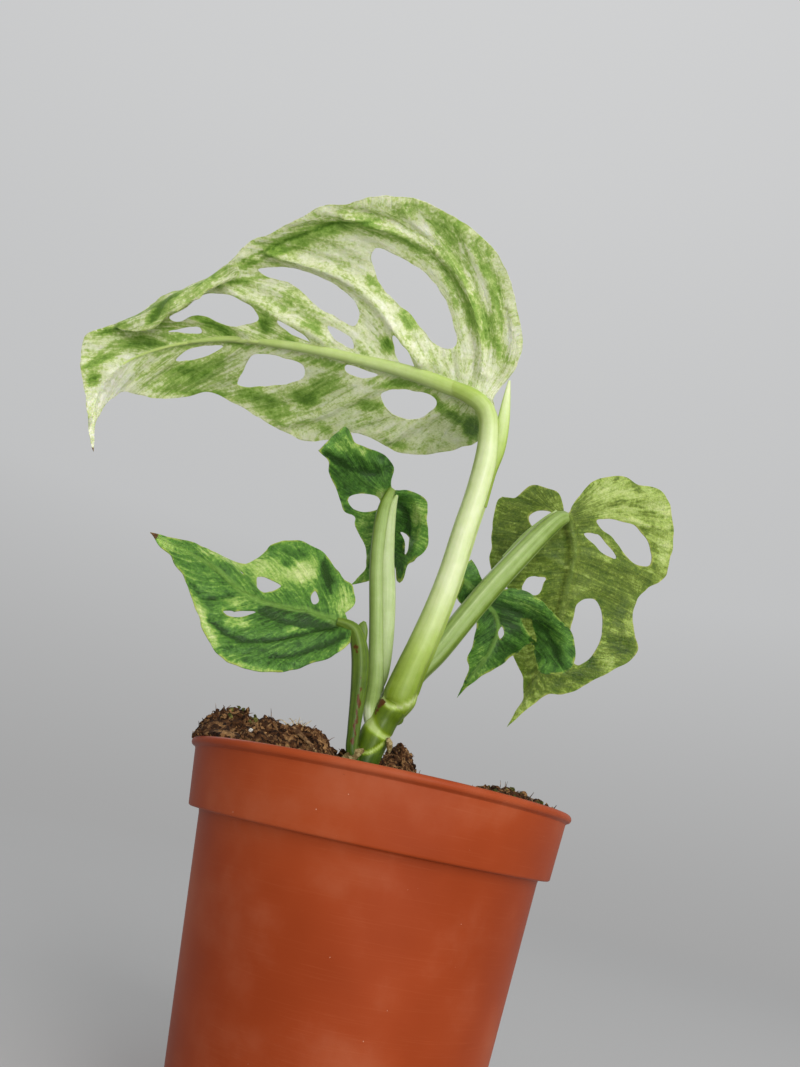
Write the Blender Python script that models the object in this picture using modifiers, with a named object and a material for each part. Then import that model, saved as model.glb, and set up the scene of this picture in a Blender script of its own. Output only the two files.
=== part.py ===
"""Young Swiss cheese plant (Monstera adansonii, variegated) in its round nursery pot.

The pot stands on z = 0 with its axis on Z. The front of the plant faces -Y.
Outlines of leaves and stalks are drawn in the upright plane through the pot axis, in millimetres,
as they look from EYE. Each drawn point then slides along its own line of sight to its real depth.
"""
import math

import bmesh
import bpy
import numpy as np
from mathutils import Vector, geometry

MM = 0.001

# Place in front of the pot from which the outlines are drawn, in mm.
EYE = np.array([0.0, -150.0, 54.2])

# Nursery pot, in mm.
POT_HEIGHT = 62.0
RIM_RADIUS = 35.0
RIM_BEAD = 1.4
COLLAR_TOP_RADIUS = 34.1
COLLAR_FOOT_RADIUS = 32.6
COLLAR_DEPTH = 11.2
BODY_TOP_RADIUS = 30.6
BASE_RADIUS = 23.5
BASE_EDGE = 0.8
BASE_THICKNESS = 1.6
WALL = 1.1
EDGE_CHAMFER = 0.3
POT_SEGMENTS = 60
DRAIN_HOLES = 8
DRAIN_HOLE_RADIUS = 2.4
DRAIN_CIRCLE_RADIUS = 17.5

# Clear space between two pieces that touch on the real plant, and the same where a cut makes it.
GAP = 0.3
CUT_GAP = GAP + 0.05

# Potting soil, in mm: each mound is (x, y, height, width in x, width in y).
SOIL_LEVEL = 60.2
MOUNDS = [
    (-31.0, -8.0, 4.4, 5.0, 9.0),
    (-22.0, -9.0, 5.8, 6.0, 8.0),
    (-12.4, -7.0, 5.0, 3.8, 6.0),
    (-9.0, 7.0, 4.6, 3.5, 4.0),
    (2.8, 9.0, 8.2, 3.2, 5.0),
    (24.0, 2.0, 4.0, 7.0, 8.0),
    (-8.0, 20.0, 3.0, 12.0, 6.0),
]
CRUMB_SIZE = 3.0
CRUMB_HEIGHT = 1.7
SOIL_RINGS = 19
SOIL_SECTORS = 56

# Extra room for the facets of pot and soil: at the side, at the brim, and under and over the pot's step.
SIDE_ROOM = 0.1
BRIM_ROOM = 0.15
UNDER_STEP_ROOM = 0.15
OVER_STEP_ROOM = 0.25

# How far above the pot's rim the hole for the stem is cut.
HOLE_ABOVE_RIM = 8.0

# Leaf blades.
BLADE = 0.62
EDGE_STEP = 2.2
MESH_STEP = 4.2
EDGE_CLEARANCE = 0.55 * MESH_STEP

# Stem: (x, height, depth, radius) along its centre line, from the root end up.
STEM = [
    (-3.4, 40.0, 0.0, 2.0), (-3.2, 56.0, 0.0, 2.6), (-3.0, 64.0, 0.0, 2.7), (-2.9, 67.6, 0.0, 2.8),
    (-2.6, 70.0, 0.1, 3.0), (-1.6, 72.0, 0.0, 2.5), (-0.4, 74.2, -0.3, 2.4), (0.3, 76.2, -0.6, 2.9),
]

# Leaf stalks: (x, height, depth, radius). The first point lies inside the stem.
PETIOLES = {
    "petiole_1": [
        (0.45, 76.9, -0.7, 3.0), (0.8, 79.0, -0.9, 3.15), (1.9, 84.0, -1.6, 2.95), (2.9, 88.0, -2.2, 2.85),
        (4.65, 96.0, -3.6, 2.65), (6.0, 104.0, -5.2, 2.5), (7.2, 114.0, -7.4, 2.45), (8.3, 122.0, -9.0, 2.4),
        (9.0, 130.0, -10.6, 2.35), (8.8, 136.0, -11.8, 2.1), (8.1, 140.5, -12.6, 1.9),
        (6.6, 143.8, -13.2, 1.75),
        (4.6, 145.4, -13.4, 1.6),
    ],
    "petiole_2": [
        (-4.0, 63.4, -1.0, 0.8), (-6.2, 65.4, -2.2, 0.9), (-6.9, 69.5, -2.6, 1.0), (-7.1, 74.0, -2.9, 1.35),
        (-7.5, 78.0, -3.3, 1.6), (-8.2, 82.3, -3.8, 1.7), (-9.2, 85.6, -4.4, 1.6), (-10.6, 88.2, -5.2, 1.4),
        (-12.4, 89.2, -5.8, 1.1),
    ],
    "petiole_3": [
        (-2.6, 70.4, 0.6, 2.0), (-3.4, 73.0, 1.6, 2.1), (-3.7, 76.0, 2.4, 1.9), (-4.2, 80.0, 2.4, 1.9),
        (-5.0, 85.0, 2.2, 1.95), (-6.4, 92.0, 2.0, 2.0), (-8.3, 101.0, 1.8, 2.0), (-9.2, 108.0, 1.6, 2.0),
        (-9.5, 113.5, 1.6, 2.1), (-9.3, 117.0, 2.0, 2.1), (-9.4, 118.9, 3.2, 1.6),
    ],
    "petiole_4": [
        (0.7, 73.2, 1.0, 1.5), (1.0, 75.4, 3.5, 1.5), (1.5, 77.8, 5.4, 1.7), (2.9, 82.2, 6.4, 2.1),
        (6.1, 87.4, 7.0, 2.35),
        (10.3, 95.3, 8.0, 2.45), (14.5, 102.8, 10.0, 2.5), (18.6, 109.5, 12.0, 2.45),
        (23.2, 116.6, 14.0, 2.3),
        (26.4, 120.6, 15.6, 1.9), (27.6, 121.2, 17.4, 1.4),
    ],
    "petiole_5": [
        (-2.6, 67.4, 0.8, 1.1), (-2.5, 69.4, 3.8, 1.1), (-2.3, 71.6, 5.4, 1.15), (-2.0, 75.0, 6.4, 1.2),
        (-0.9, 80.0, 8.0, 1.25), (2.5, 88.0, 10.2, 1.25), (5.5, 95.0, 11.8, 1.2), (7.3, 100.0, 12.4, 1.1),
        (8.2, 103.4, 12.6, 0.9),
    ],
}

# Dry upper ends and wings of the leaf sheaths, each fused to its stalk.
SHEATHS = {
    "petiole_1": [
        (10.2, 128.0, -10.4, 1.5), (11.0, 134.0, -11.4, 1.6), (11.3, 140.0, -12.2, 1.4),
        (11.2, 146.0, -12.8, 0.95),
        (11.1, 151.8, -13.2, 0.35),
    ],
    "petiole_3": [
        (-4.2, 84.0, 2.6, 1.2), (-4.6, 90.0, 2.4, 1.55), (-5.4, 96.0, 2.2, 1.5), (-7.2, 102.0, 2.0, 1.3),
        (-8.6, 106.5, 1.8, 1.0),
    ],
    "petiole_4": [
        (16.8, 109.6, 12.0, 1.1), (20.6, 115.4, 13.6, 1.3), (24.0, 120.0, 14.8, 0.9),
        (25.6, 122.4, 15.4, 0.4),
    ],
}

# Each leaf: its outline as smooth stretches that meet at corners, its holes, and how it lies in depth.
# Outline, holes: (x, height). Lie: (x, height, depth). Midrib: (x, height, radius).
LEAVES = {
    "leaf_1": {
        "stalk": "petiole_1",
        "outline": [
            [(8.2, 146.0), (9.5, 149.2), (11.6, 154.2), (12.7, 159.6), (11.6, 166.9), (9.5, 173.3),
             (6.6, 180.3),
             (2.5, 186.7), (-3.6, 191.9), (-10.5, 195.6), (-15.0, 197.5), (-20.0, 198.6), (-25.0, 198.1),
             (-30.5, 196.5), (-36.0, 192.8), (-40.2, 191.6), (-43.5, 189.3), (-46.0, 186.2), (-52.0, 179.8),
             (-55.5, 176.8), (-58.6, 171.0), (-60.2, 165.6)],
            [(-60.2, 165.6), (-65.0, 162.1), (-68.9, 158.1), (-72.3, 155.3), (-75.9, 149.8), (-80.7, 146.2),
             (-84.8, 143.0), (-84.6, 139.6), (-83.0, 134.0), (-80.0, 128.1), (-77.1, 121.4), (-73.6, 115.1)],
            [(-73.6, 115.1), (-75.5, 122.8), (-73.9, 128.3), (-71.4, 130.6), (-65.0, 130.3), (-58.9, 131.7),
             (-53.6, 134.4), (-46.9, 132.6), (-40.0, 130.1), (-31.0, 127.2), (-25.0, 128.7), (-21.5, 131.2),
             (-17.4, 131.2), (-10.0, 128.8), (-1.8, 130.3), (5.5, 134.2), (9.4, 138.4), (9.2, 142.6),
             (8.2, 146.0)],
        ],
        "holes": [
            [(-26.6, 180.1), (-24.5, 181.5), (-16.4, 178.7), (-10.0, 174.2), (-5.7, 167.8), (-2.6, 160.6),
             (-3.2, 157.4), (-7.3, 157.8), (-13.6, 164.0), (-20.9, 169.2), (-25.5, 175.5)],
            [(-51.7, 169.2), (-44.6, 171.2), (-37.8, 170.5), (-29.2, 166.5), (-25.8, 161.5), (-26.5, 158.4),
             (-31.5, 160.1), (-36.5, 162.1), (-42.8, 166.5), (-49.2, 167.4)],
            [(-61.8, 159.6), (-55.7, 160.3), (-50.4, 158.3), (-48.4, 154.9), (-53.6, 152.3), (-61.4, 153.7),
             (-65.5, 151.0), (-68.2, 151.4), (-65.2, 155.0)],
            [(-16.6, 157.8), (-12.3, 154.2), (-10.5, 150.6), (-14.1, 150.9), (-15.9, 154.2)],
            [(-32.1, 157.1), (-26.5, 155.3), (-25.2, 152.3), (-29.6, 153.7)],
            [(-43.3, 156.2), (-37.8, 154.0), (-35.2, 152.0), (-41.9, 154.0)],
            [(-67.1, 147.8), (-61.4, 150.3), (-60.0, 148.7), (-65.4, 147.8)],
            [(-16.6, 141.9), (-13.6, 144.0), (-7.3, 144.6), (-3.9, 142.6), (-7.3, 137.8), (-13.2, 137.6)],
            [(-25.6, 147.9), (-21.0, 147.5), (-18.3, 146.7), (-21.8, 145.0), (-25.2, 145.9)],
            [(-46.5, 146.1), (-41.0, 146.7), (-36.0, 146.1), (-34.4, 142.4), (-39.2, 139.4), (-47.6, 137.5),
             (-47.8, 141.9)],
            [(-54.3, 146.7), (-61.4, 144.2), (-63.2, 140.6), (-57.5, 142.8)],
        ],
        "lie": [
            (8.0, 142.0, -12.8), (-4.5, 147.8, -12.6), (-24.0, 149.6, -12.0), (-46.9, 149.6, -10.0),
            (-65.0, 144.6, -8.0), (-76.4, 133.9, -6.5), (-73.6, 115.1, -4.0), (9.5, 149.2, -14.4),
            (12.5, 159.0, -19.0), (8.0, 177.0, -27.0), (-3.6, 191.9, -33.0), (-20.0, 198.6, -36.0),
            (-36.0, 192.8, -34.0), (-46.0, 186.2, -30.0), (-56.0, 176.2, -23.0), (-62.0, 164.0, -17.0),
            (-72.0, 155.0, -13.0), (-80.7, 146.2, -10.0), (-84.6, 139.6, -7.5), (-80.0, 128.1, -5.0),
            (5.5, 134.2, 2.0), (-10.0, 128.8, 7.0), (-27.8, 127.6, 8.0), (-40.0, 130.0, 7.0),
            (-53.6, 134.4, 4.0), (-65.0, 130.3, 1.0), (-73.0, 129.0, -2.0), (-15.0, 170.0, -21.0),
            (-38.0, 168.0, -19.5),
        ],
        "midrib": [(4.6, 145.4, 1.6), (-4.5, 147.7, 1.4), (-16.4, 149.4, 1.2), (-33.3, 150.1, 0.9),
                   (-51.5, 149.1, 0.7), (-65.0, 144.6, 0.6), (-74.6, 137.0, 0.5), (-77.4, 128.1, 0.4),
                   (-75.6, 121.0, 0.35)],
        "midrib_forward": 0.6,
    },
    "leaf_2": {
        "stalk": "petiole_2",
        "outline": [
            [(-56.3, 99.9), (-50.1, 99.6), (-45.2, 99.2), (-39.7, 97.8), (-35.9, 97.4), (-33.2, 99.1),
             (-31.4, 102.3), (-28.0, 104.1), (-24.4, 104.5), (-20.1, 102.7), (-16.6, 99.4), (-13.2, 97.5),
             (-11.9, 94.2), (-13.3, 91.5)],
            [(-13.3, 91.5), (-11.9, 89.2), (-10.8, 86.0)],
            [(-10.8, 86.0), (-13.5, 82.9), (-19.4, 78.9), (-23.5, 77.2), (-28.0, 76.5), (-34.6, 77.7),
             (-39.0, 81.3), (-42.1, 86.3), (-45.6, 90.8), (-49.7, 94.8), (-56.3, 99.9)],
        ],
        "holes": [
            [(-32.2, 95.3), (-29.4, 95.3), (-27.3, 94.1), (-29.6, 92.3), (-31.7, 92.9)],
            [(-20.2, 94.8), (-18.9, 92.7), (-20.0, 91.8), (-20.8, 93.3)],
            [(-37.1, 86.9), (-32.8, 87.8), (-30.8, 87.9), (-34.9, 85.8)],
        ],
        "lie": [
            (-12.0, 89.2, -5.8), (-20.1, 90.1, -7.6), (-32.1, 90.6, -9.6), (-41.4, 95.6, -10.5),
            (-56.3, 99.9, -12.0), (-11.0, 85.9, -8.6), (-19.4, 78.9, -13.0), (-28.0, 76.5, -15.5),
            (-39.0, 81.3, -16.0), (-45.6, 90.8, -14.0), (-13.2, 97.5, -3.0), (-20.1, 102.7, -1.0),
            (-28.0, 104.1, -1.0), (-35.9, 97.4, -5.5), (-45.2, 99.2, -9.5), (-28.0, 84.0, -12.4),
        ],
        "midrib": [(-12.2, 89.2, 1.0), (-20.1, 90.1, 0.8), (-32.1, 90.6, 0.65), (-41.4, 95.2, 0.5),
                   (-54.0, 99.1, 0.35)],
        "midrib_forward": -0.3,
    },
    "leaf_3": {
        "stalk": "petiole_3",
        "outline": [
            [(-26.8, 125.5), (-25.6, 127.9), (-22.9, 132.2), (-21.4, 131.6), (-19.3, 128.9), (-13.5, 127.8),
             (-10.3, 124.9), (-9.9, 120.8), (-8.6, 119.6)],
            [(-8.6, 119.6), (-5.8, 120.4), (-1.9, 118.6), (0.0, 112.5), (0.2, 108.2), (-1.6, 105.2),
             (-3.1, 104.0), (-3.4, 100.4), (-4.4, 100.2), (-5.6, 103.0), (-7.6, 103.2), (-9.6, 99.4),
             (-13.3, 97.6)],
            [(-13.3, 97.6), (-11.1, 101.5), (-12.5, 106.0), (-15.1, 110.0), (-15.8, 112.2), (-18.6, 113.0),
             (-20.2, 116.4), (-23.3, 120.5), (-24.3, 123.5), (-26.8, 125.5)],
        ],
        "holes": [
            [(-11.6, 117.2), (-14.6, 117.7), (-18.2, 116.3), (-16.8, 113.9), (-14.0, 113.7), (-11.4, 114.6)],
            [(-5.9, 110.8), (-4.3, 110.2), (-3.4, 106.6), (-4.4, 106.4), (-5.2, 109.4)],
        ],
        "lie": [
            (-9.5, 118.6, 4.4), (-9.4, 112.0, 6.6), (-9.3, 105.0, 8.0), (-13.3, 97.6, 11.0),
            (-10.4, 123.6, 3.6), (-15.0, 119.0, 6.4), (-17.0, 126.0, 1.6), (-25.0, 124.0, -2.6),
            (-22.3, 132.2, -4.4), (-17.0, 113.4, 8.4), (-15.0, 108.6, 10.4), (-6.0, 119.0, 3.4),
            (-1.2, 116.0, -0.4), (0.2, 109.0, -2.4), (-2.4, 104.6, -1.0), (-4.0, 100.2, 2.6),
            (-6.4, 112.0, 5.4),
        ],
        "midrib": [(-9.4, 118.9, 1.0), (-9.8, 112.0, 0.75), (-10.4, 105.0, 0.55), (-12.4, 99.2, 0.35)],
        "midrib_forward": -0.3,
    },
    "leaf_4": {
        "stalk": "petiole_4",
        "outline": [
            [(27.8, 121.0), (29.2, 124.8), (31.3, 129.0), (34.4, 131.8), (39.0, 133.5), (42.0, 131.9),
             (46.0, 132.2), (49.2, 129.0), (50.4, 124.0), (50.4, 116.8), (48.6, 111.2), (45.6, 108.8),
             (43.4, 104.8), (44.0, 100.0), (45.2, 95.9), (42.8, 92.6), (38.0, 88.8), (32.8, 84.8),
             (28.8, 83.6), (25.2, 80.0), (21.8, 75.8)],
            [(21.8, 75.8), (23.9, 82.0), (23.2, 86.4), (20.6, 90.4), (19.0, 96.0), (18.6, 102.2),
             (14.0, 106.6), (13.2, 112.0), (12.6, 118.0), (13.0, 122.8), (16.6, 123.4), (19.2, 126.8),
             (22.6, 127.3), (26.2, 125.8), (27.8, 121.0)],
        ],
        "holes": [
            [(20.0, 119.8), (22.0, 121.8), (24.6, 121.6), (24.2, 118.6), (21.4, 117.6)],
            [(34.0, 121.9), (40.0, 122.7), (44.2, 121.0), (46.6, 116.0), (45.6, 113.8), (41.6, 115.0),
             (38.4, 118.4)],
            [(31.8, 118.2), (34.8, 118.7), (38.6, 115.6), (38.8, 114.2), (35.6, 115.4)],
            [(25.2, 107.2), (21.6, 106.2), (21.0, 103.4), (24.0, 103.4), (25.0, 106.0)],
            [(32.4, 103.2), (35.6, 104.6), (37.8, 100.8), (37.2, 94.8), (33.9, 90.4), (31.6, 94.0),
             (32.0, 100.0)],
        ],
        "lie": [
            (27.8, 121.0, 17.8), (29.8, 114.0, 20.4), (29.4, 104.0, 24.4), (27.6, 92.0, 30.0),
            (21.8, 75.8, 38.0), (13.0, 118.0, 27.0), (20.0, 127.0, 22.0), (14.4, 106.6, 29.0),
            (19.0, 96.0, 31.0), (33.0, 131.0, 17.0), (41.0, 132.6, 18.4), (47.6, 131.0, 22.0),
            (50.6, 120.0, 28.0), (43.4, 104.8, 31.0), (45.2, 95.9, 33.0), (36.0, 87.0, 34.0),
            (21.0, 113.0, 22.4), (39.0, 118.0, 21.4),
        ],
        "midrib": [(27.8, 121.2, 1.2), (29.9, 116.0, 1.0), (29.9, 108.0, 0.8), (28.6, 98.0, 0.65),
                   (26.6, 88.0, 0.5), (23.2, 79.0, 0.35)],
        "midrib_forward": 0.4,
    },
    "leaf_5": {
        "stalk": "petiole_5",
        "outline": [
            [(9.6, 108.0), (11.0, 106.4), (12.8, 103.8), (15.2, 102.8), (20.0, 103.5), (23.8, 102.8),
             (28.0, 100.0), (32.0, 96.6), (33.2, 91.6), (31.2, 88.4), (26.8, 87.7), (25.4, 90.4),
             (24.0, 93.0), (21.4, 90.4), (17.8, 86.4), (14.0, 83.0), (11.5, 79.4)],
            [(11.5, 79.4), (12.9, 85.2), (12.2, 87.6), (12.9, 91.2), (12.6, 95.6), (10.6, 97.4),
             (8.6, 98.4), (7.2, 101.0), (7.4, 105.0), (9.6, 108.0)],
        ],
        "holes": [
            [(18.0, 95.2), (18.6, 93.8), (18.0, 92.6), (17.3, 93.9)],
            [(21.8, 97.6), (23.6, 97.4), (25.2, 94.2), (24.4, 94.2), (22.6, 96.0)],
        ],
        "lie": [
            (8.2, 103.4, 12.6), (9.6, 108.0, 12.4), (13.0, 101.0, 14.6), (20.0, 103.5, 16.0),
            (28.0, 100.0, 14.6), (33.2, 92.6, 9.6), (31.2, 88.4, 8.6), (26.8, 87.7, 10.6),
            (23.0, 96.0, 18.6), (22.0, 91.0, 17.0), (16.0, 92.0, 19.6), (13.0, 88.0, 21.0),
            (11.5, 79.4, 24.0), (12.6, 95.6, 16.4),
        ],
        "midrib": [(8.2, 103.4, 0.8), (13.0, 100.2, 0.7), (17.0, 96.0, 0.6), (16.6, 90.0, 0.5),
                   (13.4, 83.4, 0.35)],
        "midrib_forward": -0.2,
    },
}

# The margin of the large leaf that curls over towards the front, near its tip.
CURL_OUTLINE = [
    [(-59.2, 167.6), (-62.1, 163.9), (-67.1, 159.6), (-71.1, 156.9), (-73.4, 153.3), (-76.4, 149.2),
     (-79.6, 146.6)],
    [(-79.6, 146.6), (-77.9, 145.4), (-74.6, 145.8), (-71.1, 147.1), (-69.6, 150.4), (-66.8, 153.5),
     (-65.0, 156.4), (-62.4, 158.4), (-59.2, 167.6)],
]
CURL_LIE = [
    (-59.2, 167.6, -19.0), (-67.1, 159.6, -15.4), (-72.4, 155.0, -13.4), (-79.6, 146.6, -10.4),
    (-74.6, 145.8, -12.8), (-69.6, 150.4, -15.6), (-65.0, 156.4, -18.2), (-62.4, 158.4, -19.4),
    (-68.6, 155.0, -16.6),
]

COLOURS = {
    "pot": (0.34, 0.062, 0.018),
    "soil": (0.070, 0.038, 0.020),
    "stem": (0.16, 0.24, 0.035),
    "petiole": (0.45, 0.55, 0.20),
    "pale_leaf": (0.48, 0.58, 0.27),
    "green_leaf": (0.07, 0.16, 0.035),
}


def clear_scene():
    for obj in list(bpy.data.objects):
        bpy.data.objects.remove(obj, do_unlink=True)


def make_collection(name):
    collection = bpy.data.collections.new(name)
    bpy.context.scene.collection.children.link(collection)
    return collection


def make_material(name, colour, roughness):
    material = bpy.data.materials.new(name)
    material.use_nodes = True
    shader = material.node_tree.nodes["Principled BSDF"]
    shader.inputs["Base Color"].default_value = (*colour, 1.0)
    shader.inputs["Roughness"].default_value = roughness
    shader.inputs["Metallic"].default_value = 0.0
    return material


def add_object(name, mesh, collection, material=None):
    obj = bpy.data.objects.new(name, mesh)
    collection.objects.link(obj)
    if material:
        mesh.materials.clear()
        mesh.materials.append(material)
    return obj


def apply_modifiers(obj):
    """Give the object its evaluated mesh and drop its modifiers."""
    depsgraph = bpy.context.evaluated_depsgraph_get()
    mesh = bpy.data.meshes.new_from_object(obj.evaluated_get(depsgraph))
    obj.modifiers.clear()
    obj.data = mesh


def boolean(obj, other, operation):
    """Join the other solid to the object or cut it away, and remove the other solid."""
    modifier = obj.modifiers.new(operation.lower(), "BOOLEAN")
    modifier.operation = operation
    modifier.solver = "EXACT"
    modifier.object = other
    apply_modifiers(obj)
    bpy.data.objects.remove(other, do_unlink=True)


def keep_largest_body(obj):
    """Drop the loose scraps that a cut may leave beside the main body."""
    bm = bmesh.new()
    bm.from_mesh(obj.data)
    waiting = set(bm.verts)
    bodies = []
    while waiting:
        body = {waiting.pop()}
        front = list(body)
        while front:
            for edge in front.pop().link_edges:
                for vert in edge.verts:
                    if vert in waiting:
                        waiting.discard(vert)
                        body.add(vert)
                        front.append(vert)
        bodies.append(body)
    bodies.sort(key=len)
    scraps = [vert for body in bodies[:-1] for vert in body]
    bmesh.ops.delete(bm, geom=scraps, context="VERTS")
    bm.to_mesh(obj.data)
    bm.free()


def at_depth(x, z, depth):
    """Slide a drawn point (mm) along its line of sight to the given depth (mm), as a point in metres."""
    drawn = np.array([x, 0.0, z])
    return Vector((EYE + (drawn - EYE) * (1.0 - depth / EYE[1])) * MM)


def smooth_curve(points, step):
    """Points of a Catmull-Rom curve through the given points, about one step apart in x and z."""
    points = np.array(points, float)
    first = 2.0 * points[0] - points[1]
    last = 2.0 * points[-1] - points[-2]
    guide = np.vstack([first, points, last])
    curve = []
    for before, start, end, after in zip(guide[:-3], guide[1:-2], guide[2:-1], guide[3:]):
        pieces = max(1, round(np.linalg.norm((end - start)[:2]) / step))
        for t in np.arange(pieces) / pieces:
            curve.append(0.5 * (2.0 * start + (end - before) * t
                                + (2.0 * before - 5.0 * start + 4.0 * end - after) * t ** 2
                                + (3.0 * start - before - 3.0 * end + after) * t ** 3))
    curve.append(points[-1])
    return np.array(curve)


def closed_outline(stretches, step):
    """Closed outline from smooth stretches, each of which starts where the one before it ends."""
    return np.vstack([smooth_curve(stretch, step)[:-1] for stretch in stretches])


def closed_hole(points, step):
    """Closed smooth curve through the points."""
    count = len(points)
    around = points[-2:] + points + points[:2]
    curve = smooth_curve(around, step)
    start = np.argmin(np.linalg.norm(curve - np.array(points[0]), axis=1))
    ahead = curve[start + 1:]
    end = start + 1 + np.argmin(np.linalg.norm(ahead[count:] - np.array(points[0]), axis=1)) + count
    return curve[start:end]


def inside(outline, points):
    """Which of the points lie within the closed outline, by the even-odd rule."""
    result = np.zeros(len(points), bool)
    x, z = points[:, 0], points[:, 1]
    for (ax, az), (bx, bz) in zip(outline, np.roll(outline, -1, axis=0)):
        crosses = (az > z) != (bz > z)
        slope = (bx - ax) / (bz - az) if bz != az else 0.0
        result ^= crosses & (x < ax + (z - az) * slope)
    return result


def lie_surface(lie):
    """Thin-plate spline that gives the depth at any drawn point from the few known depths."""
    knots = np.array([point[:2] for point in lie])
    depths = np.array([point[2] for point in lie])

    def kernel(a, b):
        distance = np.linalg.norm(a[:, None] - b[None], axis=2)
        return distance ** 2 * np.log(np.maximum(distance, 1e-9))

    count = len(knots)
    plane = np.column_stack([np.ones(count), knots])
    system = np.zeros((count + 3, count + 3))
    system[:count, :count] = kernel(knots, knots)
    system[:count, count:] = plane
    system[count:, :count] = plane.T
    weights = np.linalg.solve(system, np.append(depths, [0.0, 0.0, 0.0]))

    def depth(points):
        points = np.atleast_2d(points)
        flat = np.column_stack([np.ones(len(points)), points])
        return kernel(points, knots) @ weights[:count] + flat @ weights[count:]

    return depth


def sheet_mesh(name, outline, holes, lie):
    """Thin open sheet within the outline and outside the holes, bent to its lie."""
    loops = [closed_outline(outline, EDGE_STEP)]
    loops += [closed_hole(hole, EDGE_STEP) for hole in holes]
    edge = np.vstack(loops)
    low = edge.min(axis=0)
    high = edge.max(axis=0)
    grid = []
    for row, z in enumerate(np.arange(low[1], high[1], MESH_STEP * math.sqrt(3.0) / 2.0)):
        for x in np.arange(low[0] + (row % 2) * MESH_STEP / 2.0, high[0], MESH_STEP):
            grid.append((x, z))
    grid = np.array(grid)
    clear = np.min(np.linalg.norm(grid[:, None] - edge[None], axis=2), axis=1) > EDGE_CLEARANCE
    grid = grid[clear & within(loops, grid)]
    verts = [Vector(point) for point in np.vstack([edge, grid])]
    edges = []
    start = 0
    for loop in loops:
        edges += [(start + i, start + (i + 1) % len(loop)) for i in range(len(loop))]
        start += len(loop)
    verts, _, faces, _, _, _ = geometry.delaunay_2d_cdt(verts, edges, [], 0, 1e-5)
    flat = np.array([tuple(vert) for vert in verts])
    middles = np.array([flat[list(face)].mean(axis=0) for face in faces])
    kept = [face for face, keep in zip(faces, within(loops, middles)) if keep]
    depths = lie_surface(lie)(flat)
    mesh = bpy.data.meshes.new(name)
    mesh.from_pydata([at_depth(x, z, depth) for (x, z), depth in zip(flat, depths)], [], kept)
    mesh.update()
    return mesh


def within(loops, points):
    """Which points lie inside the first loop and outside the others."""
    result = inside(loops[0], points)
    for loop in loops[1:]:
        result &= ~inside(loop, points)
    return result


def add_blade(name, outline, holes, lie, collection):
    """Leaf blade: the bent sheet with its thickness."""
    obj = add_object(name, sheet_mesh(name, outline, holes, lie), collection)
    thickness = obj.modifiers.new("thickness", "SOLIDIFY")
    thickness.thickness = BLADE * MM
    thickness.offset = 0.0
    apply_modifiers(obj)
    return obj


def add_tube(name, points, collection, extra=0.0, step=3.4, bevel_resolution=3):
    """Closed tapered tube through (x, height, depth, radius) points, made larger by extra."""
    path = smooth_curve(points, step)
    curve = bpy.data.curves.new(name, "CURVE")
    curve.dimensions = "3D"
    curve.bevel_depth = MM
    curve.bevel_resolution = bevel_resolution
    curve.use_fill_caps = True
    spline = curve.splines.new("POLY")
    spline.points.add(len(path) - 1)
    for point, (x, z, depth, radius) in zip(spline.points, path):
        point.co = (*at_depth(x, z, depth), 1.0)
        point.radius = radius + extra
    guide = bpy.data.objects.new(name + "_path", curve)
    collection.objects.link(guide)
    depsgraph = bpy.context.evaluated_depsgraph_get()
    mesh = bpy.data.meshes.new_from_object(guide.evaluated_get(depsgraph))
    bm = bmesh.new()
    bm.from_mesh(mesh)
    bmesh.ops.remove_doubles(bm, verts=bm.verts, dist=1e-6)
    bm.to_mesh(mesh)
    bm.free()
    obj = add_object(name, mesh, collection)
    obj.matrix_world = guide.matrix_world
    bpy.data.objects.remove(guide, do_unlink=True)
    return obj


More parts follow.
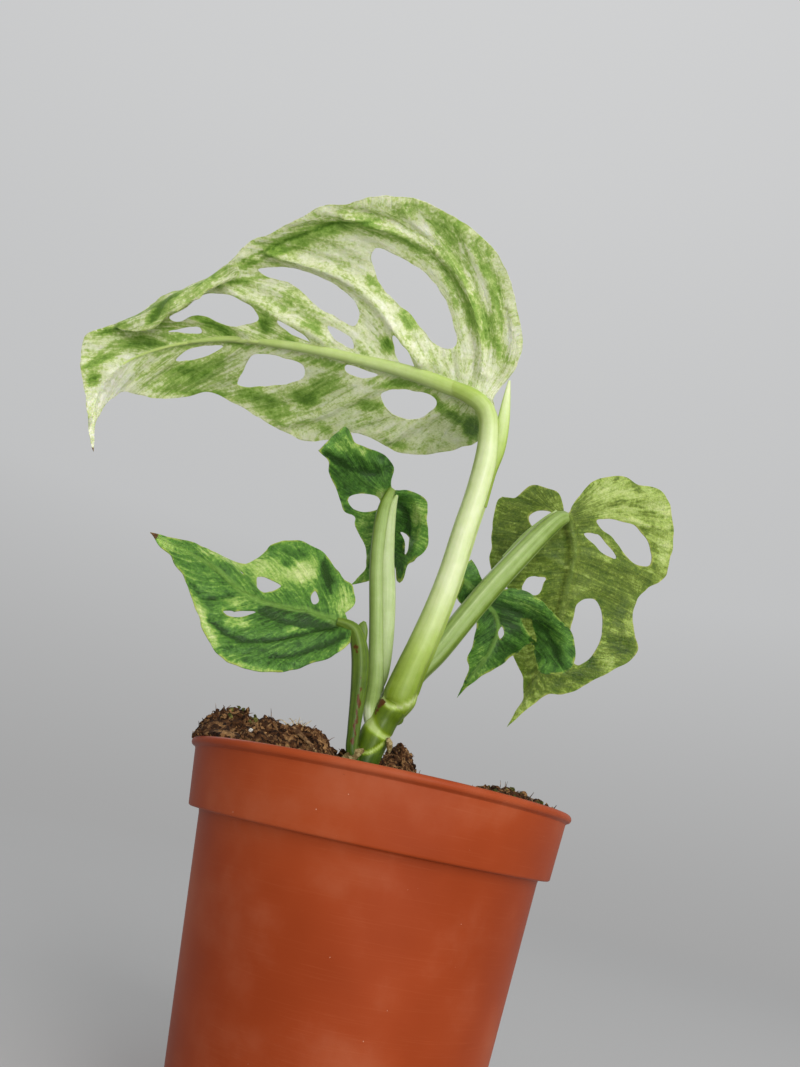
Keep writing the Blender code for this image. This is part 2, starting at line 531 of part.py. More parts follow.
def build_pot(parts, cutters, material):
    """Turned pot with a rolled rim, a deep collar, a tapered body and drainage holes in its base."""
    collar_foot = POT_HEIGHT - COLLAR_DEPTH
    bead_centre = POT_HEIGHT - RIM_BEAD / 2.0
    profile = [
        (0.0, BASE_THICKNESS),
        (BASE_RADIUS - WALL, BASE_THICKNESS),
        (BODY_TOP_RADIUS - WALL, collar_foot - WALL),
        (COLLAR_FOOT_RADIUS - WALL, collar_foot + WALL),
        (COLLAR_TOP_RADIUS - WALL, POT_HEIGHT - RIM_BEAD),
        (COLLAR_TOP_RADIUS - WALL + EDGE_CHAMFER, POT_HEIGHT),
    ]
    for angle in np.radians([90.0, 45.0, 0.0, -45.0, -90.0]):
        radius = RIM_RADIUS - RIM_BEAD / 2.0 * (1.0 - math.cos(angle))
        profile.append((radius, bead_centre + RIM_BEAD / 2.0 * math.sin(angle)))
    profile += [
        (COLLAR_TOP_RADIUS, POT_HEIGHT - RIM_BEAD),
        (COLLAR_FOOT_RADIUS, collar_foot + EDGE_CHAMFER),
        (COLLAR_FOOT_RADIUS - EDGE_CHAMFER, collar_foot),
        (BODY_TOP_RADIUS, collar_foot),
        (BASE_RADIUS, BASE_EDGE),
        (BASE_RADIUS - BASE_EDGE, 0.0),
        (0.0, 0.0),
    ]
    mesh = bpy.data.meshes.new("pot")
    bm = bmesh.new()
    verts = [bm.verts.new((r * MM, 0.0, z * MM)) for r, z in profile]
    for a, b in zip(verts, verts[1:]):
        bm.edges.new((a, b))
    bm.to_mesh(mesh)
    bm.free()
    pot = add_object("pot", mesh, parts, material)
    screw = pot.modifiers.new("turn", "SCREW")
    screw.steps = POT_SEGMENTS
    screw.render_steps = POT_SEGMENTS
    screw.use_merge_vertices = True
    screw.merge_threshold = 1e-5
    apply_modifiers(pot)
    for hole in range(DRAIN_HOLES):
        angle = 2.0 * math.pi * (hole + 0.5) / DRAIN_HOLES
        place = (DRAIN_CIRCLE_RADIUS * MM * math.cos(angle), DRAIN_CIRCLE_RADIUS * MM * math.sin(angle), 0.0)
        bpy.ops.mesh.primitive_cylinder_add(vertices=16, radius=DRAIN_HOLE_RADIUS * MM,
                                            depth=4.0 * BASE_THICKNESS * MM, location=place)
        cutter = bpy.context.object
        cutter.hide_render = True
        cutter.display_type = "WIRE"
        for collection in list(cutter.users_collection):
            collection.objects.unlink(cutter)
        cutters.objects.link(cutter)
        boolean(pot, cutter, "DIFFERENCE")
    pot.data.shade_smooth()
    pot.data.set_sharp_from_angle(angle=math.radians(35.0))
    return pot


def crumb(x, y):
    """Smooth lattice noise between -1 and 1, the same on every run."""
    total = 0.0
    for size, share, seed in ((CRUMB_SIZE, 0.65, 1.3), (CRUMB_SIZE * 0.53, 0.35, 7.9)):
        u, v = x / size, y / size
        i, j = math.floor(u), math.floor(v)
        fu, fv = u - i, v - j
        fu, fv = fu * fu * (3.0 - 2.0 * fu), fv * fv * (3.0 - 2.0 * fv)
        corner = {}
        for a in (0, 1):
            for b in (0, 1):
                wave = math.sin((i + a) * 127.1 + (j + b) * 311.7 + seed) * 43758.5453
                corner[a, b] = 2.0 * (wave - math.floor(wave)) - 1.0
        low = corner[0, 0] + (corner[1, 0] - corner[0, 0]) * fu
        high = corner[0, 1] + (corner[1, 1] - corner[0, 1]) * fu
        total += share * (low + (high - low) * fv)
    return total


def soil_height(x, y):
    height = SOIL_LEVEL + CRUMB_HEIGHT * crumb(x, y)
    for centre_x, centre_y, rise, width_x, width_y in MOUNDS:
        height += rise * math.exp(-0.5 * (((x - centre_x) / width_x) ** 2 + ((y - centre_y) / width_y) ** 2))
    return height


def build_soil(parts, cutters, material):
    """Potting soil that fills the pot, heaped and crumbly on top, with a plain hole for the stem."""
    collar_foot = POT_HEIGHT - COLLAR_DEPTH
    top_radius = COLLAR_TOP_RADIUS - WALL - GAP - BRIM_ROOM
    inset = WALL + GAP + SIDE_ROOM
    sides = [
        (BASE_RADIUS - inset, BASE_THICKNESS + GAP),
        (BODY_TOP_RADIUS - inset, collar_foot - WALL + UNDER_STEP_ROOM),
        (COLLAR_FOOT_RADIUS - inset, collar_foot + WALL + OVER_STEP_ROOM),
    ]
    bm = bmesh.new()

    def ring(radius, height=None):
        verts = []
        for sector in range(SOIL_SECTORS):
            angle = 2.0 * math.pi * sector / SOIL_SECTORS
            x, y = radius * math.cos(angle), radius * math.sin(angle)
            z = soil_height(x, y) if height is None else height
            verts.append(bm.verts.new((x * MM, y * MM, z * MM)))
        return verts

    def band(lower, upper):
        for i in range(SOIL_SECTORS):
            j = (i + 1) % SOIL_SECTORS
            bm.faces.new((lower[i], lower[j], upper[j], upper[i]))

    rings = [ring(radius, height) for radius, height in sides]
    for step in range(SOIL_RINGS):
        rings.append(ring(top_radius * (1.0 - step / SOIL_RINGS)))
    for lower, upper in zip(rings, rings[1:]):
        band(lower, upper)
    bm.faces.new(list(reversed(rings[0])))
    crown = bm.verts.new((0.0, 0.0, soil_height(0.0, 0.0) * MM))
    inner = rings[-1]
    for i in range(SOIL_SECTORS):
        bm.faces.new((inner[i], inner[(i + 1) % SOIL_SECTORS], crown))
    bmesh.ops.triangulate(bm, faces=bm.faces)
    bmesh.ops.recalc_face_normals(bm, faces=bm.faces)
    mesh = bpy.data.meshes.new("soil")
    bm.to_mesh(mesh)
    bm.free()
    soil = add_object("soil", mesh, parts, material)
    hole = [(x, z, depth, radius) for x, z, depth, radius in STEM if z < POT_HEIGHT + HOLE_ABOVE_RIM]
    x, z, depth, radius = hole[0]
    hole[0] = (x, z - GAP, depth, radius)
    boolean(soil, add_tube("stem_hole", hole, cutters, extra=GAP), "DIFFERENCE")
    keep_largest_body(soil)
    return soil


def build_stem(parts, material):
    stem = add_tube("stem", STEM, parts, step=2.0)
    stem.data.materials.append(material)
    stem.data.shade_smooth()
    return stem


def build_petiole(name, parts, cutters, material):
    """Leaf stalk with its sheath, cut back clear of the stem."""
    petiole = add_tube(name, PETIOLES[name], parts)
    if name in SHEATHS:
        boolean(petiole, add_tube(name + "_sheath", SHEATHS[name], cutters, bevel_resolution=2), "UNION")
    if name != "petiole_1":
        boolean(petiole, add_tube("stem_clearance", STEM, cutters, extra=CUT_GAP, step=2.0), "DIFFERENCE")
    keep_largest_body(petiole)
    petiole.data.materials.clear()
    petiole.data.materials.append(material)
    petiole.data.shade_smooth()
    petiole.data.set_sharp_from_angle(angle=math.radians(50.0))
    return petiole


def build_leaf(name, parts, cutters, material):
    """Leaf blade with its raised midrib, cut back clear of the end of its stalk."""
    leaf_shape = LEAVES[name]
    leaf = add_blade(name, leaf_shape["outline"], leaf_shape["holes"], leaf_shape["lie"], parts)
    depth = lie_surface(leaf_shape["lie"])
    forward = leaf_shape["midrib_forward"]
    rib = [(x, z, depth((x, z))[0] - forward * radius, radius) for x, z, radius in leaf_shape["midrib"]]
    boolean(leaf, add_tube(name + "_midrib", rib, cutters, bevel_resolution=2), "UNION")
    if name == "leaf_1":
        boolean(leaf, add_blade("curl", CURL_OUTLINE, [], CURL_LIE, cutters), "UNION")
    stalk = leaf_shape["stalk"]
    boolean(leaf, add_tube("stalk_clearance", PETIOLES[stalk], cutters, extra=CUT_GAP), "DIFFERENCE")
    if stalk in SHEATHS:
        boolean(leaf, add_tube("sheath_clearance", SHEATHS[stalk], cutters, extra=CUT_GAP,
                               bevel_resolution=2), "DIFFERENCE")
    keep_largest_body(leaf)
    leaf.data.materials.clear()
    leaf.data.materials.append(material)
    leaf.data.shade_smooth()
    leaf.data.set_sharp_from_angle(angle=math.radians(50.0))
    return leaf


def main():
    clear_scene()
    parts = make_collection("monstera_adansonii")
    cutters = make_collection("cutters")
    pot_plastic = make_material("pot_plastic", COLOURS["pot"], 0.42)
    potting_soil = make_material("potting_soil", COLOURS["soil"], 0.95)
    green_stem = make_material("green_stem", COLOURS["stem"], 0.45)
    stalk_green = make_material("stalk_green", COLOURS["petiole"], 0.40)
    pale_leaf = make_material("pale_leaf", COLOURS["pale_leaf"], 0.45)
    green_leaf = make_material("green_leaf", COLOURS["green_leaf"], 0.35)
    build_pot(parts, cutters, pot_plastic)
    build_soil(parts, cutters, potting_soil)
    build_stem(parts, green_stem)
    for name in PETIOLES:
        build_petiole(name, parts, cutters, stalk_green)
    for name in LEAVES:
        build_leaf(name, parts, cutters, pale_leaf if name == "leaf_1" else green_leaf)


main()
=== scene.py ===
# %% [markdown]
# # A young Swiss cheese plant in its nursery pot
# This lesson dresses a solid model of a small potted Monstera adansonii until it looks alive.
# The solids give every piece its real place and size. Each one is replaced here by a finer piece
# of the same form: thin veined blades, grooved stalks, crumbly soil and a softly shining pot.
# The first cell loads the solids.

# %% Load the frame
import math

import bmesh
import bpy
import numpy as np
from mathutils import Matrix, Vector, geometry, kdtree, noise


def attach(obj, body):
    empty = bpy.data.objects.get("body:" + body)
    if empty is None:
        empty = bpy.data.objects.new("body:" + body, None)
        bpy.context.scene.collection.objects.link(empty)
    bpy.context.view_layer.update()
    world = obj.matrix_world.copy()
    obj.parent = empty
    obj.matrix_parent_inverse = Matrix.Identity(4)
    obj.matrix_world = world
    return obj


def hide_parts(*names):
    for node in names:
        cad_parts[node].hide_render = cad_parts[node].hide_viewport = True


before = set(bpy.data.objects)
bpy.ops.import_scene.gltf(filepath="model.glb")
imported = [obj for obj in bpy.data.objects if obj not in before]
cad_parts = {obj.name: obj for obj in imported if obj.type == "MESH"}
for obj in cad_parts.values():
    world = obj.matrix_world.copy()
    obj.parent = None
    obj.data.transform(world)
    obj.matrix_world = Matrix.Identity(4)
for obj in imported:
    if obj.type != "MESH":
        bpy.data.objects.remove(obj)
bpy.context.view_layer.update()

print("nodes:", ", ".join(sorted(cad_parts)))

# %% [markdown]
# ## How the plant is drawn
# A plant has no straight edges to measure, so its leaves are drawn the way an artist draws them: as
# outlines on an upright sheet through the pot's axis, seen from one eye point in front. Every drawn
# point then slides along its own line of sight to its real depth. The outline stays right from the
# front, and the depth makes the leaf a real curved surface from every other side.
# Numbers in this lesson are millimetres. They are turned into metres only when a mesh is made.

# %% Drawing plane and eye point
MM = 0.001
EYE = np.array([0, -150, 54.2])


def to_depth(drawn, depth):
    """Slide drawn points (x, height) along their lines of sight to their depths."""
    drawn = np.atleast_2d(drawn)
    flat = np.column_stack([drawn[:, 0], np.zeros(len(drawn)), drawn[:, 1]])
    return EYE + (flat - EYE) * (1 - np.reshape(depth, (-1, 1)) / EYE[1])


print("a point drawn at (10, 100) and 15 mm deep lies at", to_depth([(10, 100)], [15])[0].round(2))

# %% [markdown]
# ## The camera
# The plant is looked at from close by and slightly below, with the camera tilted a little to one
# side, so the upright pot leans in the picture. Pitch, yaw and roll are applied one after another
# to a camera that starts level. The focal length belongs to the long side of the picture.

# %% Camera
CAMERA_PITCH = 20.53
CAMERA_YAW = 2.25
CAMERA_ROLL = 12.05
CAMERA_LENS = 25.98

camera = bpy.data.objects.new("camera", bpy.data.cameras.new("camera"))
bpy.context.scene.collection.objects.link(camera)
camera.data.sensor_width = 36
camera.data.lens = CAMERA_LENS
camera.data.clip_start = 0.01
aim = Matrix.Translation(Vector(EYE) * MM)
for angle, axis in ((CAMERA_YAW, "Z"), (90 + CAMERA_PITCH, "X"), (CAMERA_ROLL, "Z")):
    aim = aim @ Matrix.Rotation(math.radians(angle), 4, axis)
camera.matrix_world = aim
bpy.context.scene.camera = camera
bpy.context.scene.view_settings.view_transform = "Standard"
print("camera stands", round(-EYE[1]), "mm in front of the pot's axis")

# %% [markdown]
# ## A soft light tent
# Small plants are photographed in an even, shadowless light against a plain pale wall. A flat wall
# would end somewhere when the plant is looked at from another side, so the floor here runs up into
# a round wall and closes overhead: one turned shell all round the plant. The wall glows softly by
# itself, as cloth lit from outside does, and the floor close to the pot is plain matt grey, so the
# pot still throws its shadow there. One large window light from the front gives the forms their shape.

# %% Shell, lights and their strengths
TENT_PROFILE = [(0, 0), (0.2, 0), (0.45, 0), (0.75, 0), (0.95, 0.03), (1.12, 0.13), (1.24, 0.32),
                (1.30, 0.58), (1.31, 1.1), (1.24, 1.55), (1.02, 1.95), (0.62, 2.25), (0, 2.36)]
TENT_SEGMENTS = 96
TENT_HEIGHT = 2.36
FLOOR_GREY = (0.50, 0.50, 0.50, 1)
FLOOR_REACH = (0.30, 0.85)
WALL_GLOW = [(0, (0.375, 0.375, 0.375, 1)), (0.22, (0.53, 0.535, 0.54, 1)), (0.6, (0.60, 0.605, 0.61, 1)),
             (1, (0.66, 0.665, 0.67, 1))]
LIGHTS = {
    # name: (place, aim, size, watts, tint), places and sizes in metres
    "window_light": ((0.50, -0.80, 0.55), (0, 0, 0.1), 0.6, 4, (1, 0.99, 0.97)),
    "low_fill": ((0.22, -0.62, 0), (0, 0, 0.13), 0.5, 5.6, (1, 1, 1)),
    "back_light": ((-0.5, 0.9, 0.9), (0, 0, 0.1), 0.6, 1.6, (1, 1, 1)),
}


def add_turned(name, profile, segments):
    """Mesh object turned round Z from a profile of (radius, height) in metres."""
    mesh = bpy.data.meshes.new(name)
    mesh.from_pydata([(radius, 0, height) for radius, height in profile],
                     [(i, i + 1) for i in range(len(profile) - 1)], [])
    obj = bpy.data.objects.new(name, mesh)
    bpy.context.scene.collection.objects.link(obj)
    turn = obj.modifiers.new("turn", "SCREW")
    turn.steps = segments
    turn.render_steps = segments
    turn.use_merge_vertices = True
    turn.use_smooth_shade = True
    return obj


tent = add_turned("light_tent", TENT_PROFILE, TENT_SEGMENTS)
for name, (place, aim, size, watts, tint) in LIGHTS.items():
    lamp = bpy.data.lights.new(name, "AREA")
    lamp.shape = "DISK"
    lamp.size = size
    lamp.energy = watts
    lamp.color = tint
    light = bpy.data.objects.new(name, lamp)
    light.location = place
    light.rotation_euler = (Vector(aim) - light.location).to_track_quat("-Z", "Y").to_euler()
    light.visible_camera = False
    bpy.context.scene.collection.objects.link(light)

world = bpy.data.worlds.new("room")
world.use_nodes = True
world.node_tree.nodes["Background"].inputs["Strength"].default_value = 0
bpy.context.scene.world = world
print("lights:", ", ".join(LIGHTS))

# %% [markdown]
# ## Curves from a few given points
# Outlines, veins and stalks all start as short lists of given points. A Catmull-Rom curve
# passes through every one of them, which makes it easier to draw with than a Bezier curve, whose
# handles pull the line away from its points. An outline is made of smooth stretches that meet at
# corners, so a leaf can have a sharp tip and a soft belly.

# %% Curve helpers
def smooth_curve(points, step):
    """Points of a Catmull-Rom curve through the given points, about one step apart in x and height."""
    points = np.array(points, float)
    guide = np.vstack([2 * points[0] - points[1], points, 2 * points[-1] - points[-2]])
    curve = []
    for before, start, end, after in zip(guide[:-3], guide[1:-2], guide[2:-1], guide[3:]):
        pieces = max(1, round(np.linalg.norm((end - start)[:2]) / step))
        for t in np.arange(pieces) / pieces:
            curve.append(0.5 * (2 * start + (end - before) * t
                                + (2 * before - 5 * start + 4 * end - after) * t ** 2
                                + (3 * start - before - 3 * end + after) * t ** 3))
    curve.append(points[-1])
    return np.array(curve)


def closed_outline(stretches, step):
    """Closed outline of smooth stretches, each of which goes on from the end of the one before it."""
    starts = [stretch[-1:] for stretch in stretches[-1:] + stretches[:-1]]
    return np.vstack([smooth_curve(start + stretch, step)[:-1] for start, stretch in zip(starts, stretches)])


def closed_hole(points, step):
    """Closed smooth curve through the points."""
    around = points[-2:] + points + points[:3]
    curve = smooth_curve(around, step)
    first, last = (np.flatnonzero(np.linalg.norm(curve - np.array(points[0]), axis=1) < 1e-6)[[0, -1]])
    return curve[first:last]


def resample(curve, count):
    """The same curve as count points spaced evenly along it."""
    lengths = np.append(0, np.cumsum(np.linalg.norm(np.diff(curve, axis=0), axis=1)))
    places = np.linspace(0, lengths[-1], count)
    return np.column_stack([np.interp(places, lengths, column) for column in curve.T])


def inside(outline, points):
    """Which of the points lie within the closed outline, by the even-odd rule."""
    result = np.zeros(len(points), bool)
    x, z = points[:, 0], points[:, 1]
    for (ax, az), (bx, bz) in zip(outline, np.roll(outline, -1, axis=0)):
        if az != bz:
            result ^= ((az > z) != (bz > z)) & (x < ax + (z - az) * (bx - ax) / (bz - az))
    return result


def within(loops, points):
    """Which points lie inside the first loop and outside the others."""
    return inside(loops[0], points) & ~np.any([inside(loop, points) for loop in loops[1:]], axis=0)


def triangulate(loops, extra=()):
    """Flat triangles inside the first loop and outside the others, with extra points in between."""
    edges, start = [], 0
    for loop in loops:
        edges += [(start + i, start + (i + 1) % len(loop)) for i in range(len(loop))]
        start += len(loop)
    points = [Vector(point) for point in np.vstack([*loops, *extra])]
    points, _, faces, _, _, _ = geometry.delaunay_2d_cdt(points, edges, [], 0, 1e-5)
    flat = np.array([tuple(point) for point in points])
    middles = np.array([flat[list(face)].mean(axis=0) for face in faces])
    return flat, [tuple(face) for face, keep in zip(faces, within(loops, middles)) if keep]


print("a hole drawn with 4 points gets", len(closed_hole([(0, 0), (4, 0), (4, 4), (0, 4)], 0.5)), "points")

# %% [markdown]
# ## How a leaf lies in space
# A blade is not flat: it droops, twists and cups. Its depth is known at a few places only, so the
# rest is filled in by a thin-plate spline, the surface that a thin springy sheet would take if it
# were pinned at those places. It bends as little as it can in between, just as a living blade does.

# %% Depth of a blade
def lie_surface(lie):
    """Thin-plate spline that gives the depth at any drawn point from the few known depths."""
    knots = np.array([point[:2] for point in lie])
    depths = np.array([point[2] for point in lie])

    def kernel(a, b):
        distance = np.linalg.norm(a[:, None] - b[None], axis=2)
        return distance ** 2 * np.log(np.maximum(distance, 1e-9))

    count = len(knots)
    plane = np.column_stack([np.ones(count), knots])
    system = np.zeros((count + 3, count + 3))
    system[:count, :count] = kernel(knots, knots)
    system[:count, count:] = plane
    system[count:, :count] = plane.T
    weights = np.linalg.solve(system, np.append(depths, [0, 0, 0]))

    def depth(points):
        points = np.atleast_2d(points)
        flat = np.column_stack([np.ones(len(points)), points])
        return kernel(points, knots) @ weights[:count] + flat @ weights[count:]

    return depth


print("midway between 0 and 4 mm deep:", lie_surface([(0, 0, 0), (10, 0, 4), (0, 10, 0)])((5, 0)).round(2))

# %% [markdown]
# ## A fine sheet with rows along the midrib
# The inside of each outline is filled with an even net of triangles. Delaunay triangulation does
# this for any outline with any holes, where a grid would leave steps along the margin. Extra rows of
# points follow the midrib, so that the rib can later be raised out of the same sheet. A rib that
# grows out of the blade looks alive; a tube laid on top of it would look glued.

# %% Triangulated sheet
EDGE_STEP = 0.5
NET_STEP = 0.72
RAGGED_LENGTH = 2.6
RIB_ROWS = (-1, -0.72, -0.45, -0.2, 0, 0.2, 0.45, 0.72, 1)
RIB_FOOT = 0.3
RIB_SAMPLES = 400


def search_tree(cloud):
    """The flat points of a cloud, sorted for a quick search."""
    tree = kdtree.KDTree(len(cloud))
    for index, point in enumerate(cloud):
        tree.insert((point[0], point[1], 0), index)
    tree.balance()
    return tree


def nearest(points, cloud):
    """Distance from each point to the nearest of the cloud, and which one that is."""
    tree = search_tree(cloud)
    found = [tree.find((point[0], point[1], 0)) for point in points]
    return np.array([hit[2] for hit in found]), np.array([hit[1] for hit in found])


def ragged(loop, amount, seed):
    """The closed loop with small seeded bays and bumps, as a real margin has."""
    along = np.roll(loop, -1, axis=0) - np.roll(loop, 1, axis=0)
    outward = np.column_stack([along[:, 1], -along[:, 0]]) / np.linalg.norm(along, axis=1)[:, None]
    bumps = np.array([noise.noise(Vector((x, z, seed)) / RAGGED_LENGTH) for x, z in loop])
    straightness = np.einsum("ij,ij->i", along, np.roll(along, 4, axis=0))
    corner = straightness < 0.3 * np.einsum("ij,ij->i", along, along)
    return loop + outward * (amount * bumps * ~corner)[:, None]


def rib_width(radius):
    """Half the width of a midrib's foot on the blade, for its radius."""
    return 1.2 * radius + RIB_FOOT


def fine_sheet(shape):
    """Even triangles within a leaf's outline, outside its holes, with rows of points along its midrib."""
    loops = [closed_outline(shape["outline"], EDGE_STEP)]
    loops += [closed_hole(hole, EDGE_STEP) for hole in shape["holes"]]
    loops = [ragged(loop, shape["ragged"], shape["seed"]) for loop in loops]
    edge = np.vstack(loops)
    rib = smooth_curve(shape["midrib"], 0.6)
    heading = np.gradient(rib[:, :2], axis=0)
    heading /= np.linalg.norm(heading, axis=1)[:, None]
    across = np.column_stack([-heading[:, 1], heading[:, 0]])
    rows = np.vstack([rib[:, :2] + across * (share * rib_width(rib[:, 2]))[:, None] for share in RIB_ROWS])
    rows = rows[within(loops, rows)]
    rows = rows[nearest(rows, edge)[0] > 0.3]
    low, high = edge.min(axis=0), edge.max(axis=0)
    net = []
    for row, z in enumerate(np.arange(low[1], high[1], NET_STEP * math.sqrt(3) / 2)):
        for x in np.arange(low[0] + (row % 2) * NET_STEP / 2, high[0], NET_STEP):
            net.append((x, z))
    net = np.array(net)
    net = net[within(loops, net)]
    net = net[nearest(net, np.vstack([edge, rows]))[0] > 0.6 * NET_STEP]
    flat, faces = triangulate(loops, [rows, net])
    rib = resample(rib, RIB_SAMPLES)
    rib_distance, rib_index = nearest(flat, rib)
    return {"flat": flat, "faces": faces, "margin": nearest(flat, edge)[0], "rib_distance": rib_distance,
            "rib_radius": rib[rib_index, 2]}


print("sheets have a net of", NET_STEP, "mm and", len(RIB_ROWS), "rows along the midrib")

# %% [markdown]
# ## Veins give the blade its grain
# Everything on a leaf follows its veins: the pale streaks of variegation, the fine creases and the
# folds between the side veins. A handful of side veins is drawn for each half of the blade. Many
# more are blended in between them, and every point of the sheet takes from the nearest ones two
# coordinates: how far across the family of veins it lies, counted in drawn veins, and how far along
# a vein, in millimetres. Materials stretch their noise along these, as a real blade does.

# %% Vein coordinates
VEIN_SAMPLES = 40
VEINS_BETWEEN = 8
FAMILY_STEP = 40  # keeps the numbers of the two halves' veins apart


def vein_family(drawn_veins):
    """Points of many veins blended between the drawn ones, with their across and along coordinates."""
    keys = [resample(smooth_curve(vein, 0.8), VEIN_SAMPLES) for vein in drawn_veins]
    points, across, along = [], [], []
    for number, (first, second) in enumerate(zip(keys[:-1], keys[1:])):
        for step in range(VEINS_BETWEEN + (number == len(keys) - 2)):
            share = step / VEINS_BETWEEN
            vein = first * (1 - share) + second * share
            points.append(vein)
            across.append(np.full(VEIN_SAMPLES, number + share))
            along.append(np.append(0, np.cumsum(np.linalg.norm(np.diff(vein, axis=0), axis=1))))
    return np.vstack(points), np.concatenate(across), np.concatenate(along)


def vein_coordinates(flat, families):
    """Smooth across and along coordinates of every point, from the nearest samples of the vein families."""
    clouds = [vein_family(family) for family in families]
    cloud = np.vstack([points for points, _, _ in clouds])
    across = np.concatenate([values + FAMILY_STEP * number for number, (_, values, _) in enumerate(clouds)])
    along = np.concatenate([values for _, _, values in clouds])
    family = np.floor(across / FAMILY_STEP)
    tree = search_tree(cloud)
    result = []
    for x, z in flat:
        hits = tree.find_n((x, z, 0), 5)
        own = family[hits[0][1]]
        hits = [(index, 1 / (distance ** 2 + 0.02)) for _, index, distance in hits if family[index] == own]
        total = sum(weight for _, weight in hits)
        result.append((sum(across[index] * weight for index, weight in hits) / total,
                       sum(along[index] * weight for index, weight in hits) / total))
    return np.array(result)


print(VEINS_BETWEEN, "veins are blended in between two drawn ones")

# %% [markdown]
# ## Painting the variegation
# A variegated leaf carries patches of cells that make little green pigment. Their rough places are
# given as soft ellipses, each with a place, a half-length, a half-width, an angle and a
# strength. They only set a tone between dark green and cream at each point of the sheet. The
# material later tears their borders into streaks along the veins, so no ellipse can be seen.
# Some patches are painted shade, not pigment: dark ones under a midrib, in a crease or over a shaded part of
# a blade.

# %% Tone of a blade
def ellipse_share(flat, x, z, half_length, half_width, angle):
    """1 in the middle of a soft ellipse, one half on its border, and 0 far away."""
    turn = math.radians(angle)
    dx, dz = flat[:, 0] - x, flat[:, 1] - z
    u = (dx * math.cos(turn) + dz * math.sin(turn)) / half_length
    v = (dz * math.cos(turn) - dx * math.sin(turn)) / half_width
    return 1 / (1 + (u * u + v * v) ** 2)


def painted_tone(flat, ground, patches):
    """Tone at every point: the ground tone, drawn towards each patch's own tone."""
    tone = np.full(len(flat), ground)
    for x, z, half_length, half_width, angle, goal, strength in patches:
        share = ellipse_share(flat, x, z, half_length, half_width, angle) * strength
        tone += (goal - tone) * np.clip(share, 0, 1)
    return tone


print("share on the border of a patch:", ellipse_share(np.array([(1, 0)]), 0, 0, 1, 1, 0)[0])

# %% [markdown]
# ## From a sheet to a blade
# A real blade is about a third of a millimetre thick, thinner at its margin. The sheet is copied to
# a front and a back, each pushed out along the sheet's own normal, and a narrow wall closes them
# along the outline and round every hole. The midrib's swell, the folds along the side veins and a
# gentle waviness of the margin are pushed in at the same time.

# %% Closed blade from a sheet
BLADE_THICKNESS = 0.40
MARGIN_THICKNESS = 0.20
MARGIN_TAPER = 1.6
WAVE_LENGTH = 7
PLEATS_PER_VEIN = 2.2
RIB_SWELL = 0.75
# half-width in mm of the painted shade along a sinking fold
CREASE_SHADE_WIDTH = 0.4
LEAST_RIB = 0.2
LINE_SAMPLES = 200


def sheet_normals(middle, faces):
    """Unit normals at the points of an open sheet."""
    corners = middle[np.array(faces)]
    face_normals = np.cross(corners[:, 1] - corners[:, 0], corners[:, 2] - corners[:, 0])
    normals = np.zeros_like(middle)
    for corner in range(3):
        np.add.at(normals, np.array(faces)[:, corner], face_normals)
    return normals / np.linalg.norm(normals, axis=1)[:, None]


def border(faces):
    """Directed edges that belong to one face only."""
    single = {}
    for face in faces:
        for a, b in zip(face, face[1:] + face[:1]):
            if (b, a) in single:
                del single[b, a]
            else:
                single[a, b] = True
    return list(single)


def closed_shell(front, back, faces):
    """Points and faces of a thin closed body from a front, a back and the faces they share."""
    count = len(front)
    shell = list(faces)
    shell += [tuple(corner + count for corner in reversed(face)) for face in faces]
    shell += [(b, a, a + count, b + count) for a, b in border(faces)]
    return np.vstack([front, back]), shell


def wave(middle, length, seed):
    """Smooth noise between about -1 and 1 at each point in mm."""
    return np.array([noise.noise(Vector(point) / length + Vector((seed, 2 * seed, 0))) for point in middle])


def add_piece(name, points, faces, materials, fields=None, sharp_angle=50):
    """Mesh object from points in mm, with a number for each point in every named field."""
    mesh = bpy.data.meshes.new(name)
    mesh.from_pydata([tuple(point) for point in np.asarray(points) * MM], [], faces)
    for label, values in (fields or {}).items():
        attribute = mesh.attributes.new(label, "FLOAT", "POINT")
        attribute.data.foreach_set("value", np.asarray(values, np.float32))
    for material in materials:
        mesh.materials.append(material)
    mesh.validate()
    mesh.shade_smooth()
    mesh.set_sharp_from_angle(angle=math.radians(sharp_angle))
    obj = bpy.data.objects.new(name, mesh)
    bpy.context.scene.collection.objects.link(obj)
    return obj


def settle(piece, nodes):
    """Let a finished piece stand for its solids in the frame."""
    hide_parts(*nodes)
    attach(piece, "root")
    points = np.array([vert.co for vert in piece.data.vertices]) / MM
    low, high = points.min(axis=0).round(1), points.max(axis=0).round(1)
    print(piece.name, len(piece.data.polygons), "faces, from", low, "to", high, "mm")


def line_distance(flat, line):
    """Distance from each point to a drawn line."""
    return nearest(flat, resample(smooth_curve(line, 0.5), LINE_SAMPLES))[0]


def blade_fields(shape, sheet):
    """The numbers that a leaf's material reads at each point."""
    flat = sheet["flat"]
    veins = vein_coordinates(flat, shape["veins"])
    rib = np.clip(1 - sheet["rib_distance"] / rib_width(sheet["rib_radius"]), 0, 1)
    rib *= sheet["rib_radius"] > LEAST_RIB
    tone = painted_tone(flat, shape["ground"], shape["patches"])
    # painted shade: the tone is darkened along every sinking fold, where shade lies in the crease
    for line, height, _ in shape["folds"]:
        tone += min(height, 0) * np.exp(-(line_distance(flat, line) / CREASE_SHADE_WIDTH) ** 2)
    brown = np.zeros(len(flat))
    for x, z, size in shape["brown"]:
        brown = np.maximum(brown, ellipse_share(flat, x, z, size, size, 0))
    return {"tone": tone, "across": veins[:, 0], "along": veins[:, 1], "margin": sheet["margin"],
            "rib": rib, "brown": brown}


